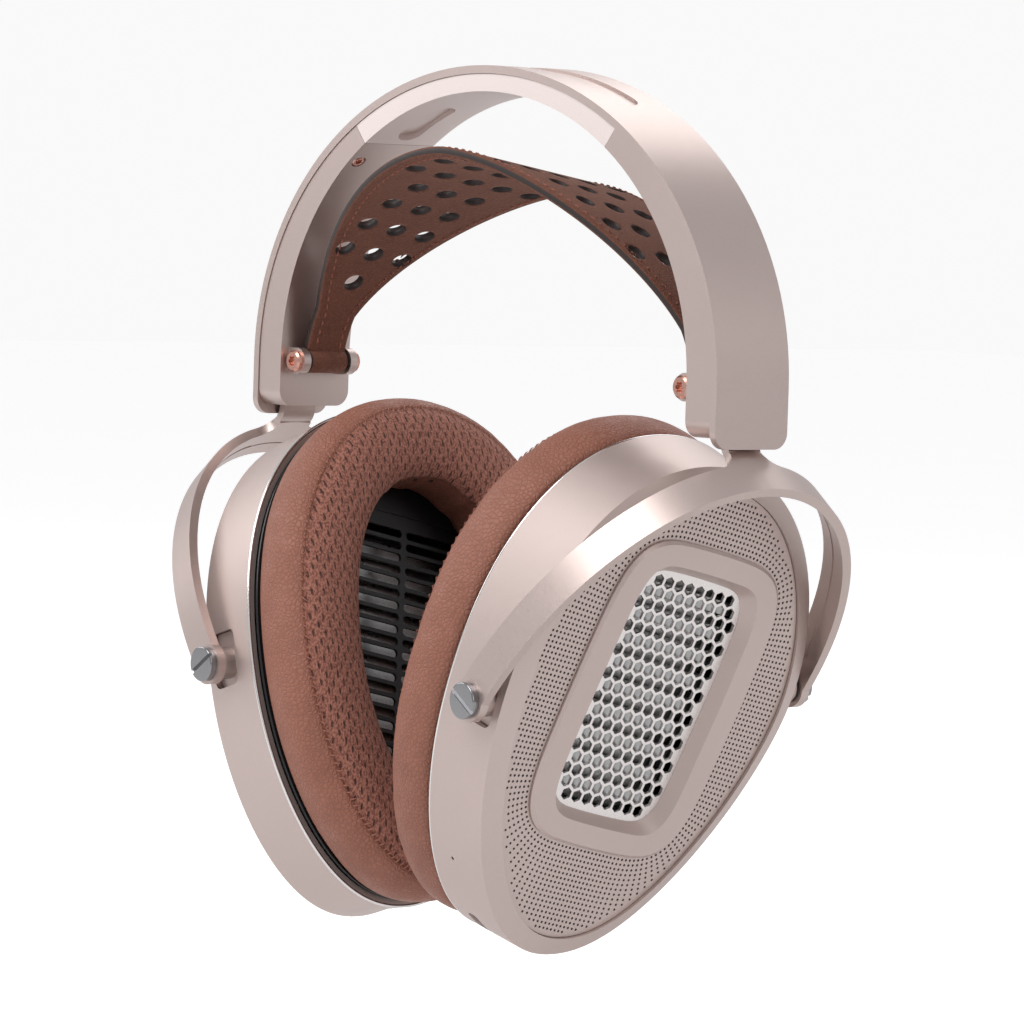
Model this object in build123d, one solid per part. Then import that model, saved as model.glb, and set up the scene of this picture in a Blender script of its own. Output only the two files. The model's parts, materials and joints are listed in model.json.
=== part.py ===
from build123d import *
import math
import os

# Over ear headphones. Millimetres, +Z up, the wearer faces -Y, and the wearer's left ear is on +X.
# Everything is modelled about the centre of the headband arch, on its widest line, and is moved at the
# end so that the origin is the head seat: the middle of the underside of the suede strap.

# Headband arch
ARCH_HALF_WIDTH = 89.5
ARCH_RISE = 75.4
STRIP_WIDTH = 23.0
STRIP_THICKNESS = 2.0
STRIP_LEG = 14.6
STRIP_CORNER = 4.0
ARM_DEPTH = 11.0
CROWN_DEPTH = 6.4
LINING_INSET = 0.3
HOUSING_LEG = 12.2
SEAM_ANGLE = 50.3
SEAM_GAP = 0.1
RECESS_LENGTH = 86.0
RECESS_WIDTH = 8.0
RECESS_DEPTH = 0.7
LINER_RECESS_ANGLE = 63.0
LINER_RECESS_LENGTH = 20.0
LINER_RECESS_WIDTH = 7.0
LINER_RECESS_DEPTH = 0.9
EDGE_BREAK = 0.3

# Suede strap and the bars that it hangs from
STRAP_DROP = 19.0
STRAP_THICKNESS = 3.0
STRAP_END_WIDTH = 12.0
STRAP_CROWN_WIDTH = 50.0
STRAP_SHARPNESS = 1.7
STRAP_LEAN = 9.0
LOOP_THICKNESS = 1.3
LOOP_GAP = 0.3
BAR_RADIUS = 1.5
BAR_STANDOFF = 3.5
BAR_HEIGHT = -0.5
EAR_GAP = 0.5
EAR_THICKNESS = 2.2
EAR_RADIUS = 3.4

# Slider: a flat stem that runs in a straight channel of the arm housing
STEM_WIDTH = 10.0
STEM_THICKNESS = 2.2
STEM_INSET = 4.2
STEM_EXIT = -13.0
STEM_LENGTH = 40.0
STEM_EXPOSED = 0.5
BEND_RADIUS = 4.0
NECK_FLARE = 4.5
CHANNEL_SIDE_GAP = 0.3
CHANNEL_COVER = 2.9
CHANNEL_TOP_ROOM = 1.5
MOUTH_HEIGHT = 4.5
GLIDE_LENGTH = 6.4
GLIDE_WIDTH = 12.4
GLIDE_THICKNESS = 2.9
TONGUE_WIDTH = 6.8
TONGUE_THICKNESS = 1.4
TONGUE_LENGTH = 4.8
GLIDE_FIT = 0.05
SPRING_LENGTH = 16.0
SPRING_WIDTH = 6.0
SPRING_THICKNESS = 0.4
SPRING_POCKET = 0.8

# Yoke
YOKE_WIDTH = 9.0
YOKE_THICKNESS = 2.4
YOKE_SIDE_GAP = 2.7
YOKE_TOP_GAP = 7.0
YOKE_END_RADIUS = 5.2
YOKE_GROOVE_WIDTH = 0.8
YOKE_GROOVE_DEPTH = 0.3

# Pivots
PIVOT_SHANK_RADIUS = 2.0
PIVOT_RUNNING_GAP = 0.05
PIVOT_HEAD_RADIUS = 4.4
PIVOT_HEAD_THICKNESS = 1.8
PIVOT_SLOT_WIDTH = 1.1
PIVOT_SLOT_DEPTH = 0.8
PIVOT_SLOT_TURN = 35.0
PIVOT_SHANK_REACH = 5.5
WASHER_THICKNESS = 0.6
WASHER_RADIUS = 4.0
WASHER_GAP = 0.05
PIVOT_BOSS_RADIUS = 4.0
SLOT_LENGTH = 14.0
SLOT_WIDTH = 10.0
SLOT_RISE = 0.8
SLOT_INWARD = 1.0
SLOT_CORNER = 2.0
BLOCK_FIT = 0.2
BLOCK_SUNK = 1.8
BLOCK_FLANGE = 1.6
BLOCK_FLANGE_EDGE = 2.0

# Cup: u runs back, v runs up along the cup face, w runs outboard from the pivot axis
CUP_TILT = 17.0
CUP_HALF_WIDTH = 47.6
CUP_HALF_HEIGHT = 63.0
CUP_SQUARENESS = 2.12
CUP_CENTRE_V = -2.4
CUP_CENTRE_U = 1.0
CUP_LEAN = 0.2
CUP_LEAN_SOFTNESS = 15.0
CUP_TAPER = 0.2
CUP_TAPER_SOFTNESS = 0.2
OUTLINE_POINTS = 36
RIM_W = 6.3
FACE_W = 8.3
RIM_WIDTH = 4.9
SHELL_BACK_W = -13.0
SHELL_FLARE = 1.1
SHELL_WALL = 2.0
FACE_WALL = 2.0
DISH_LEDGE = 2.6
DISH_SUNK = 0.9
DISH_THICKNESS = 0.8
DISH_GAP = 0.15

# Bezel, and the honeycomb plate in it
BEZEL_LEAN = 13.7
BEZEL_U = -0.5
BEZEL_V = 1.1
BEZEL_HALF_WIDTH = 28.2
BEZEL_HALF_HEIGHT = 39.4
BEZEL_SQUARENESS = 4.5
BEZEL_LIP = 3.2
BEZEL_PROUD = 0.4
BEZEL_CHAMFER = 0.7
OPENING_HALF_WIDTH = 18.6
OPENING_HALF_HEIGHT = 31.1
OPENING_SQUARENESS = 6.0
OPENING_FUNNEL = 2.2
HEX_PITCH = 3.6
HEX_WEB = 0.75
HEX_PLATE_THICKNESS = 0.8
HEX_PLATE_TOP_W = 5.2
HEX_PLATE_EDGE = 1.7
HEX_FIT = 0.1

# Driver: two magnet arrays either side of a flat diaphragm
FRAME_HALF_WIDTH = 26.0
FRAME_HALF_HEIGHT = 37.0
FRAME_THICKNESS = 1.6
FRAME_OPENING_HALF_WIDTH = 18.5
FRAME_OPENING_HALF_HEIGHT = 29.5
FRAME_SQUARENESS = 6.0
DIAPHRAGM_W = -1.1
DIAPHRAGM_THICKNESS = 0.2
DIAPHRAGM_EDGE = 2.0
MAGNET_COUNT = 9
MAGNET_PITCH = 6.4
MAGNET_WIDTH = 3.2
MAGNET_THICKNESS = 2.5
MAGNET_SEAT = 3.0
TRACE_WIDTH = 1.6
TRACE_THICKNESS = 0.1
DRIVER_SCREW_ACROSS = 20.5
DRIVER_SCREW_ALONG = 33.4
DRIVER_POST_RADIUS = 2.4

# Baffle, ear side grille, pad ring and pad
BAFFLE_THICKNESS = 2.0
BAFFLE_FIT = 0.2
EAR_OPENING_HALF_WIDTH = 21.0
EAR_OPENING_HALF_HEIGHT = 32.0
EAR_GRILLE_THICKNESS = 0.8
EAR_GRILLE_FIT = 0.15
EAR_GRILLE_REBATE = 1.6
EAR_SLOT_HEIGHT = 2.2
EAR_SLOT_PITCH = 3.2
PAD_RING_THICKNESS = 1.9
PAD_RING_INSET = 1.2
PAD_RING_WIDTH = 14.0
LAYER_GAP = 0.1
PAD_GAP = 0.3
PAD_THICKNESS = 19.0
PAD_BULGE = 1.2
PAD_OPENING_INSET = 20.5
PAD_SHOULDER = 9.0
PAD_MEETING_GAP = 4.0

# Fasteners
THREAD_GAP = 0.03
SMALL_HEAD_RADIUS = 1.9
SMALL_HEAD_HEIGHT = 1.3
SMALL_SHANK_RADIUS = 1.0
ARM_SCREW_SPACING = 15.6
ARM_SCREW_BELOW_SEAM = 8.0
ARM_SCREW_REACH = 1.3
STRAP_HEAD_RADIUS = 2.8
STRAP_HEAD_HEIGHT = 1.6
STRAP_SCREW_REACH = 3.5
SHELL_SCREW_ANGLES = (52, 128, 204, 318)
SHELL_BOSS_RADIUS = 3.0
SHELL_BOSS_INSET = 4.4
SHELL_SCREW_REACH = 7.0
DRIVER_SCREW_REACH = 5.0

# Left cup electronics, right cup battery
PORT_ANGLE = 248.0
PORT_W = -5.4
PORT_WIDTH = 8.94
PORT_HEIGHT = 3.16
PORT_DEPTH = 7.3
PORT_WALL = 0.3
PORT_CLEARANCE = 0.3
TONGUE_HEIGHT = 0.7
PORT_TONGUE_WIDTH = 6.7
BOARD_WIDTH = 28.0
BOARD_HEIGHT = 14.0
BOARD_THICKNESS = 1.2
BOARD_MARGIN = 8.0
BOARD_POST_RADIUS = 2.0
BOARD_POST_SPACING = 18.0
MIC_ANGLE = 219.0
MIC_W = -5.2
MIC_HOLE_RADIUS = 0.5
MIC_RADIUS = 2.0
MIC_HEIGHT = 1.4
LIGHT_ANGLE = 254.5
LIGHT_W = 0.6
LIGHT_LENGTH = 2.4
LIGHT_WIDTH = 0.9
LIGHT_FIT = 0.05
BATTERY_WIDTH = 27.0
BATTERY_HEIGHT = 11.0
BATTERY_THICKNESS = 6.5

# Values that follow from the ones above
INNER_HALF_WIDTH = ARCH_HALF_WIDTH - ARM_DEPTH
INNER_RISE = ARCH_RISE - CROWN_DEPTH
LINING_WIDTH = STRIP_WIDTH - 2 * LINING_INSET
STRAP_CROWN_Z = INNER_RISE - STRAP_DROP
SEAT_Z = STRAP_CROWN_Z - STRAP_THICKNESS / 2
BAR_X = INNER_HALF_WIDTH - BAR_STANDOFF
EAR_INNER_Y = STRAP_END_WIDTH / 2 + EAR_GAP
EAR_OUTER_Y = EAR_INNER_Y + EAR_THICKNESS
YOKE_HALF_SPAN = CUP_HALF_WIDTH + YOKE_SIDE_GAP
YOKE_INNER_RISE = CUP_HALF_HEIGHT + CUP_CENTRE_V + YOKE_TOP_GAP
YOKE_MID_RISE = YOKE_INNER_RISE + YOKE_THICKNESS / 2
BAFFLE_W = SHELL_BACK_W
BAFFLE_TOP_W = BAFFLE_W + BAFFLE_THICKNESS
RING_TOP_W = SHELL_BACK_W - LAYER_GAP
RING_W = RING_TOP_W - PAD_RING_THICKNESS
PAD_BACK_W = RING_W - PAD_GAP
PAD_FACE_W = PAD_BACK_W - PAD_THICKNESS
DISH_TOP_W = FACE_W - DISH_SUNK
BEZEL_TOP_W = FACE_W + BEZEL_PROUD
OUTER_FRAME_W = DIAPHRAGM_W + DIAPHRAGM_THICKNESS / 2
INNER_FRAME_TOP_W = DIAPHRAGM_W - DIAPHRAGM_THICKNESS / 2
INNER_FRAME_W = INNER_FRAME_TOP_W - FRAME_THICKNESS
tilt = math.radians(CUP_TILT)


# Outlines in the cup's own frame

def ramp(value, softness):
    """Follows value below zero, levels out at zero above it, and turns softly between."""
    return (value - math.hypot(value, softness)) / 2


def cup_point(angle, inset):
    """The cup outline is an egg: its lower half narrows, and leans forward."""
    c, s = math.cos(math.radians(angle)), math.sin(math.radians(angle))
    across = math.copysign(abs(c) ** (2 / CUP_SQUARENESS), c)
    along = math.copysign(abs(s) ** (2 / CUP_SQUARENESS), s)
    v = CUP_CENTRE_V + (CUP_HALF_HEIGHT - inset) * along
    taper = 1 + CUP_TAPER * ramp(along, CUP_TAPER_SOFTNESS)
    shift = CUP_CENTRE_U + CUP_LEAN * ramp(v, CUP_LEAN_SOFTNESS)
    return (CUP_HALF_WIDTH - inset) * across * taper + shift, v


def cup_face(inset, w):
    steps = [cup_point(360 * i / OUTLINE_POINTS, inset) for i in range(OUTLINE_POINTS)]
    return make_face(Spline([(u, v, w) for u, v in steps], periodic=True))


def squared_face(half_width, half_height, squareness, w):
    """A rounded rectangle with bowed sides, centred on the bezel and leaning with it."""
    lean = math.radians(BEZEL_LEAN)
    corners = []
    for i in range(OUTLINE_POINTS):
        angle = 2 * math.pi * (i + 0.5) / OUTLINE_POINTS
        c, s = math.cos(angle), math.sin(angle)
        across = half_width * math.copysign(abs(c) ** (2 / squareness), c)
        along = half_height * math.copysign(abs(s) ** (2 / squareness), s)
        u = BEZEL_U + across * math.cos(lean) + along * math.sin(lean)
        v = BEZEL_V - across * math.sin(lean) + along * math.cos(lean)
        corners.append((u, v, w))
    return make_face(Spline(corners, periodic=True))


def leaning(across, along, w=0.0):
    """The place in the cup frame of a point given along the bezel's own axes."""
    return Pos(BEZEL_U, BEZEL_V, w) * Rot(0, 0, -BEZEL_LEAN) * Pos(across, along, 0)


def prism(face, height):
    return extrude(face, amount=height, dir=(0, 0, 1))


def between(*faces):
    return loft(list(faces), ruled=True)


def wall_frame(angle, w, inset=0.0):
    """A plane on the cup's side wall: x along the outline, y along w, z out of the cup."""
    u, v = cup_point(angle, inset)
    u2, v2 = cup_point(angle + 0.5, inset)
    run = math.hypot(u2 - u, v2 - v)
    along = ((u2 - u) / run, (v2 - v) / run, 0)
    out = (along[1], -along[0], 0)
    return Plane(origin=(u, v, w), x_dir=along, z_dir=out)


# Where the pivots lie

def pad_sections():
    """Inset and height of the pad's outer outline, from its back to its face."""
    return (
        (0.5, PAD_BACK_W),
        (-PAD_BULGE, PAD_BACK_W - PAD_THICKNESS * 0.2),
        (-PAD_BULGE, PAD_BACK_W - PAD_THICKNESS * 0.62),
        (PAD_SHOULDER * 0.25, PAD_BACK_W - PAD_THICKNESS * 0.86),
        (PAD_SHOULDER, PAD_FACE_W),
    )


def pad_reach():
    """How far the pad reaches from the pivot axis towards the middle of the head."""
    lowest = [(-cup_point(270, inset)[1], -w) for inset, w in pad_sections()]
    return max(depth * math.cos(tilt) + drop * math.sin(tilt) for drop, depth in lowest)


def strip_inner_x(z):
    return (ARCH_HALF_WIDTH - STRIP_THICKNESS) * math.sqrt(1 - (z / (ARCH_RISE - STRIP_THICKNESS)) ** 2)


STEM_EXIT_X = ARCH_HALF_WIDTH - STEM_INSET
CHANNEL_TOP_Z = STEM_EXIT + STEM_LENGTH + CHANNEL_TOP_ROOM
slide_lean = math.atan2(
    STEM_EXIT_X - (strip_inner_x(CHANNEL_TOP_Z) - CHANNEL_COVER), CHANNEL_TOP_Z - STEM_EXIT
)
PIVOT_X = PAD_MEETING_GAP / 2 + pad_reach()


def neck_end(lean):
    """Where the stem's bend ends, for a yoke that leans out by this angle."""
    turn = math.pi / 2 - lean
    x = STEM_EXIT_X + STEM_EXPOSED * math.sin(slide_lean)
    z = STEM_EXIT - STEM_EXPOSED * math.cos(slide_lean)
    x += BEND_RADIUS * (math.cos(slide_lean) - math.cos(turn))
    z -= BEND_RADIUS * (math.sin(turn) - math.sin(slide_lean))
    return x, z


def yoke_top(lean):
    """The middle of the yoke strip at its highest point."""
    x, z = neck_end(lean)
    reach = YOKE_WIDTH / 2 + NECK_FLARE
    return x + reach * math.cos(lean), z - reach * math.sin(lean)


yoke_lean = math.radians(38)
for _ in range(30):
    yoke_lean = math.asin((yoke_top(yoke_lean)[0] - PIVOT_X) / YOKE_MID_RISE)
PIVOT_Z = yoke_top(yoke_lean)[1] - YOKE_MID_RISE * math.cos(yoke_lean)

cup_frame = Plane((PIVOT_X, 0, PIVOT_Z), x_dir=(0, 1, 0), z_dir=(math.cos(tilt), 0, -math.sin(tilt)))
yoke_frame = Plane(
    (PIVOT_X, 0, PIVOT_Z), x_dir=(0, 1, 0), z_dir=(math.cos(yoke_lean), 0, -math.sin(yoke_lean))
)
stem_frame = Plane(
    (STEM_EXIT_X, 0, STEM_EXIT), x_dir=(0, 1, 0), z_dir=(math.cos(slide_lean), 0, math.sin(slide_lean))
)


# Screws: built with the head on +Z and the seat of the head at z = 0

def star_screw(head_radius, head_height, shank_radius, reach):
    head = extrude(Circle(head_radius), head_height)
    head = chamfer(head.edges().group_by(Axis.Z)[-1], min(0.5, head_height / 3))
    lobes = Circle(head_radius * 0.38)
    lobes += [Rot(0, 0, 60 * i) * Pos(head_radius * 0.38, 0) * Circle(head_radius * 0.13) for i in range(6)]
    head -= Pos(0, 0, head_height * 0.4) * extrude(lobes, head_height)
    return head + extrude(Circle(shank_radius), -reach)


def small_screw(reach):
    return star_screw(SMALL_HEAD_RADIUS, SMALL_HEAD_HEIGHT, SMALL_SHANK_RADIUS, reach)


def small_hole(reach, head_room=0.0):
    """The cut that a small screw sits in, with its head sunk by head_room."""
    hole = extrude(Circle(SMALL_SHANK_RADIUS + THREAD_GAP), -reach)
    if head_room:
        hole += extrude(Circle(SMALL_HEAD_RADIUS + THREAD_GAP), head_room)
    return hole


# Headband

def arch_band(outer_width, outer_rise, inner_width, inner_rise, leg, depth):
    """The band between two half ellipses, with straight legs below the widest line."""
    band = Ellipse(outer_width, outer_rise) - Ellipse(inner_width, inner_rise)
    band &= Pos(0, outer_rise) * Rectangle(3 * outer_width, 2 * outer_rise)
    middle = (outer_width + inner_width) / 2
    foot = Rectangle(outer_width - inner_width, leg)
    band += [Pos(side * middle, -leg / 2) * foot for side in (1, -1)]
    return extrude(Plane.XZ * band, depth / 2, both=True)


def headband_strip():
    strip = arch_band(
        ARCH_HALF_WIDTH, ARCH_RISE, ARCH_HALF_WIDTH - STRIP_THICKNESS, ARCH_RISE - STRIP_THICKNESS,
        STRIP_LEG, STRIP_WIDTH,
    )
    corners = strip.edges().filter_by(Axis.X).filter_by(lambda e: e.center().Z < EDGE_BREAK - STRIP_LEG)
    strip = fillet(corners, STRIP_CORNER)
    skin = arch_band(
        ARCH_HALF_WIDTH + 1, ARCH_RISE + 1, ARCH_HALF_WIDTH - RECESS_DEPTH, ARCH_RISE - RECESS_DEPTH,
        STRIP_LEG, STRIP_WIDTH,
    )
    strip -= skin & extrude(SlotOverall(RECESS_LENGTH, RECESS_WIDTH), ARCH_RISE + 1)
    for place in arm_screw_places():
        strip -= place * small_hole(ARM_DEPTH + 1 - blind_strip())
    return strip


def blind_strip():
    """What is left of the strip beyond the arm screws' tips."""
    return ARM_DEPTH + 1 - arm_screw_length() - THREAD_GAP


def seam_side(above):
    """Everything above, or below, the two radial seams between the crown liner and the arm housings."""
    reach = 2 * (ARCH_HALF_WIDTH + ARCH_RISE)
    edge = math.radians(SEAM_ANGLE)
    gap = SEAM_GAP / 2 / math.cos(edge)
    start = gap if above else -gap
    tip = (0, start)
    right = (reach * math.cos(edge), reach * math.sin(edge) + start)
    left = (-right[0], right[1])
    if above:
        wedge = make_face(Polyline(tip, right, left, close=True))
    else:
        low = -2 * STRIP_LEG
        wedge = make_face(Polyline(tip, right, (reach, low), (-reach, low), left, close=True))
    return extrude(Plane.XZ * wedge, STRIP_WIDTH, both=True)


def lining():
    """The band under the strip that the crown liner and the arm housings are cut from."""
    return arch_band(
        ARCH_HALF_WIDTH - STRIP_THICKNESS - SEAM_GAP, ARCH_RISE - STRIP_THICKNESS - SEAM_GAP,
        INNER_HALF_WIDTH, INNER_RISE, HOUSING_LEG, LINING_WIDTH,
    )


def inner_arch_frame(angle, side=1):
    """A plane on the underside of the arch, facing its centre, at this angle from the widest line."""
    turn = math.radians(angle)
    x = INNER_HALF_WIDTH * math.cos(turn)
    z = INNER_RISE * math.sin(turn)
    inward = (-side * math.cos(turn) / INNER_HALF_WIDTH, 0, -math.sin(turn) / INNER_RISE)
    return Plane((side * x, 0, z), x_dir=(0, 1, 0), z_dir=inward)


def crown_liner():
    liner = lining() & seam_side(above=True)
    recess = extrude(SlotOverall(LINER_RECESS_LENGTH, LINER_RECESS_WIDTH), LINER_RECESS_DEPTH, both=True)
    for side in (1, -1):
        liner -= inner_arch_frame(LINER_RECESS_ANGLE, side).location * Rot(0, 0, 90) * recess
    return liner


def arm_screw_angle():
    """The screws' place on the inner ellipse, a set distance below the seam."""
    seam = math.atan2(
        math.sin(math.radians(SEAM_ANGLE)) / INNER_RISE, math.cos(math.radians(SEAM_ANGLE)) / INNER_HALF_WIDTH
    )
    return math.degrees(seam - ARM_SCREW_BELOW_SEAM / ((INNER_HALF_WIDTH + INNER_RISE) / 2))


def arm_screw_length():
    """From the head's seat through the housing and part of the way into the strip."""
    turn = math.radians(arm_screw_angle())
    lining_there = math.hypot(ARM_DEPTH * math.cos(turn), CROWN_DEPTH * math.sin(turn)) - STRIP_THICKNESS
    return lining_there - SMALL_HEAD_HEIGHT + ARM_SCREW_REACH


def arm_screw_places():
    """Seats of the arm screws' heads, sunk flush into the underside of the arms."""
    seats = []
    for side in (1, -1):
        frame = inner_arch_frame(arm_screw_angle(), side).location
        for y in (-ARM_SCREW_SPACING / 2, ARM_SCREW_SPACING / 2):
            seats.append(frame * Pos(y, 0, -SMALL_HEAD_HEIGHT))
    return seats


def channel():
    """The straight channel that the stem and its glide run in."""
    side = STEM_WIDTH / 2 + CHANNEL_SIDE_GAP
    half = STEM_THICKNESS / 2 + CHANNEL_SIDE_GAP
    mouth = Box(2 * side, 3 * HOUSING_LEG, 2 * half)
    glide_side = GLIDE_WIDTH / 2 + CHANNEL_SIDE_GAP
    glide_half = GLIDE_THICKNESS / 2 + CHANNEL_SIDE_GAP
    run = STEM_LENGTH + CHANNEL_TOP_ROOM - MOUTH_HEIGHT
    bore = Pos(0, MOUTH_HEIGHT + run / 2, 0) * Box(2 * glide_side, run, 2 * glide_half)
    pocket_depth = glide_half + SPRING_POCKET
    pocket = Pos(0, spring_middle(), -pocket_depth / 2) * Box(
        SPRING_WIDTH + 0.4, SPRING_LENGTH + 0.4, pocket_depth
    )
    return stem_frame.location * (mouth + bore + pocket)


def spring_middle():
    return MOUTH_HEIGHT + 4 + SPRING_LENGTH / 2


def slider_spring():
    """A flat leaf in the channel wall that bears on the stem."""
    depth = GLIDE_THICKNESS / 2 + CHANNEL_SIDE_GAP + SPRING_POCKET / 2
    leaf = Box(SPRING_WIDTH, SPRING_LENGTH, SPRING_THICKNESS)
    return stem_frame.location * Pos(0, spring_middle(), -depth) * leaf


def strap_ears():
    """Two lugs on the inside of the arm that hold the strap bar between them."""
    profile = Circle(EAR_RADIUS) + Pos(BAR_STANDOFF, 0) * Rectangle(2 * BAR_STANDOFF, 2 * EAR_RADIUS)
    profile = Pos(BAR_X, BAR_HEIGHT) * profile
    lug = extrude(Plane.XZ * profile, EAR_THICKNESS / 2, both=True)
    middle = (EAR_INNER_Y + EAR_OUTER_Y) / 2
    return Pos(0, middle, 0) * lug + Pos(0, -middle, 0) * lug


def strap_screw_hole():
    rod = Cylinder(SMALL_SHANK_RADIUS + THREAD_GAP, 2 * EAR_OUTER_Y + 1)
    return Pos(BAR_X, 0, BAR_HEIGHT) * Rot(90, 0, 0) * rod


def arm_housing():
    right_half = Pos(ARCH_HALF_WIDTH, 0, 0) * Box(2 * ARCH_HALF_WIDTH, 2 * STRIP_WIDTH, 4 * ARCH_RISE)
    housing = lining() & seam_side(above=False) & right_half
    foot = housing.edges().filter_by(Axis.X).filter_by(lambda e: e.center().Z < EDGE_BREAK - HOUSING_LEG)
    housing = fillet(foot, STRIP_CORNER)
    housing += strap_ears()
    housing -= channel()
    housing -= strap_screw_hole()
    for place in arm_screw_places()[:2]:
        housing -= place * small_hole(ARM_DEPTH, SMALL_HEAD_HEIGHT + 2)
    return housing


def strap_bar():
    bar = Cylinder(BAR_RADIUS, 2 * EAR_INNER_Y - 0.1)
    bar -= Cylinder(SMALL_SHANK_RADIUS + THREAD_GAP, 2 * EAR_INNER_Y)
    return Pos(BAR_X, 0, BAR_HEIGHT) * Rot(90, 0, 0) * bar


def strap_screws():
    reach = EAR_THICKNESS + STRAP_SCREW_REACH
    screw = star_screw(STRAP_HEAD_RADIUS, STRAP_HEAD_HEIGHT, SMALL_SHANK_RADIUS, reach)
    front = Pos(BAR_X, -EAR_OUTER_Y, BAR_HEIGHT) * Rot(90, 0, 0) * screw
    back = Pos(BAR_X, EAR_OUTER_Y, BAR_HEIGHT) * Rot(-90, 0, 0) * screw
    return [front, back]


def strap_line(offset, count=13):
    """The strap's line from bar to bar, moved out by offset along its normal."""
    reach = BAR_X
    rise = STRAP_CROWN_Z - BAR_HEIGHT
    power = 2 / STRAP_SHARPNESS
    points = []
    for i in range(count):
        turn = math.pi / 2 * (2 * i / (count - 1) - 1)
        c, s = math.cos(turn), math.sin(turn)
        x = reach * math.copysign(abs(s) ** power, s)
        z = rise * max(c, 0.0) ** power
        nx = math.copysign(abs(x / reach) ** (STRAP_SHARPNESS - 1), x) / reach
        nz = (z / rise) ** (STRAP_SHARPNESS - 1) / rise
        size = math.hypot(nx, nz)
        points.append((x + offset * nx / size, BAR_HEIGHT + z + offset * nz / size))
    return points


def head_strap():
    """A wide suede strap that narrows to a loop round each bar, and leans back at the crown."""
    outer = Spline(strap_line(STRAP_THICKNESS / 2))
    inner = Spline(strap_line(-STRAP_THICKNESS / 2))
    edge = Wire([outer, Line(outer @ 1, inner @ 1), inner, Line(inner @ 0, outer @ 0)])
    lean = math.radians(STRAP_LEAN)
    across = (0, math.cos(lean), -math.sin(lean))
    band = extrude(Plane.XZ * make_face(edge), amount=STRAP_CROWN_WIDTH, dir=across, both=True)
    end = BAR_X + STRAP_THICKNESS
    clear = BAR_X - EAR_RADIUS - 2 * EAR_GAP
    outline = Rectangle(2 * end, STRAP_END_WIDTH)
    narrow, wide = STRAP_END_WIDTH / 2, STRAP_CROWN_WIDTH / 2
    front = ThreePointArc((-clear, -narrow), (0, -wide), (clear, -narrow))
    back = ThreePointArc((clear, narrow), (0, wide), (-clear, narrow))
    outline += make_face(Wire([front, Line(front @ 1, back @ 0), back, Line(back @ 1, front @ 0)]))
    strap = band & extrude(Pos(0, 0, -ARCH_RISE) * outline, 3 * ARCH_RISE)
    loop_inner = BAR_RADIUS + LOOP_GAP
    loop = Cylinder(loop_inner + LOOP_THICKNESS, STRAP_END_WIDTH)
    hole = Cylinder(loop_inner, STRAP_END_WIDTH + 4)
    for side in (1, -1):
        strap += Pos(side * BAR_X, 0, BAR_HEIGHT) * Rot(90, 0, 0) * loop
    for side in (1, -1):
        strap -= Pos(side * BAR_X, 0, BAR_HEIGHT) * Rot(90, 0, 0) * hole
    return strap


# Yoke

def half_ring(inner_width, inner_rise, outer_width, outer_rise):
    ring = Ellipse(outer_width, outer_rise) - Ellipse(inner_width, inner_rise)
    return ring & Pos(0, outer_rise) * Rectangle(3 * outer_width, 2 * outer_rise)


def yoke():
    """One bent strip: a straight stem, a bend, a flared neck and a half ring with round ends."""
    outer = (YOKE_HALF_SPAN + YOKE_THICKNESS, YOKE_INNER_RISE + YOKE_THICKNESS)
    ring = half_ring(YOKE_HALF_SPAN, YOKE_INNER_RISE, *outer)
    strip = extrude(ring, YOKE_WIDTH / 2, both=True)
    groove_size = (YOKE_HALF_SPAN + YOKE_GROOVE_DEPTH, YOKE_INNER_RISE + YOKE_GROOVE_DEPTH)
    groove = half_ring(YOKE_HALF_SPAN, YOKE_INNER_RISE, *groove_size)
    above_ends = Rectangle(4 * YOKE_HALF_SPAN, 2 * YOKE_INNER_RISE)
    above_ends = Pos(0, 2 * YOKE_END_RADIUS + YOKE_INNER_RISE) * above_ends
    strip -= extrude(groove & above_ends, YOKE_GROOVE_WIDTH / 2, both=True)
    half = STEM_WIDTH / 2
    low = -YOKE_WIDTH / 2
    high = low - NECK_FLARE
    flare = Wire([
        Line((-half - NECK_FLARE, 0), (-half - NECK_FLARE, low)),
        RadiusArc((-half - NECK_FLARE, low), (-half, high), NECK_FLARE),
        Line((-half, high), (half, high)),
        RadiusArc((half, high), (half + NECK_FLARE, low), NECK_FLARE),
        Line((half + NECK_FLARE, low), (half + NECK_FLARE, 0)),
        Line((half + NECK_FLARE, 0), (-half - NECK_FLARE, 0)),
    ])
    cutter_plane = Plane((0, YOKE_INNER_RISE / 2, 0), x_dir=(1, 0, 0), z_dir=(0, -1, 0))
    cutter = extrude(cutter_plane * make_face(flare), YOKE_INNER_RISE, both=True)
    strip += extrude(ring, YOKE_WIDTH / 2 + NECK_FLARE, both=True) & cutter
    part = yoke_frame.location * strip
    part += bend()
    part += stem()
    for y in (1, -1):
        middle = y * (YOKE_HALF_SPAN + YOKE_THICKNESS / 2)
        part += Pos(PIVOT_X, middle, PIVOT_Z) * Rot(90, 0, 0) * Cylinder(YOKE_END_RADIUS, YOKE_THICKNESS)
    hole = Cylinder(PIVOT_SHANK_RADIUS + PIVOT_RUNNING_GAP, 3 * YOKE_HALF_SPAN)
    return part - Pos(PIVOT_X, 0, PIVOT_Z) * Rot(90, 0, 0) * hole


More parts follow.
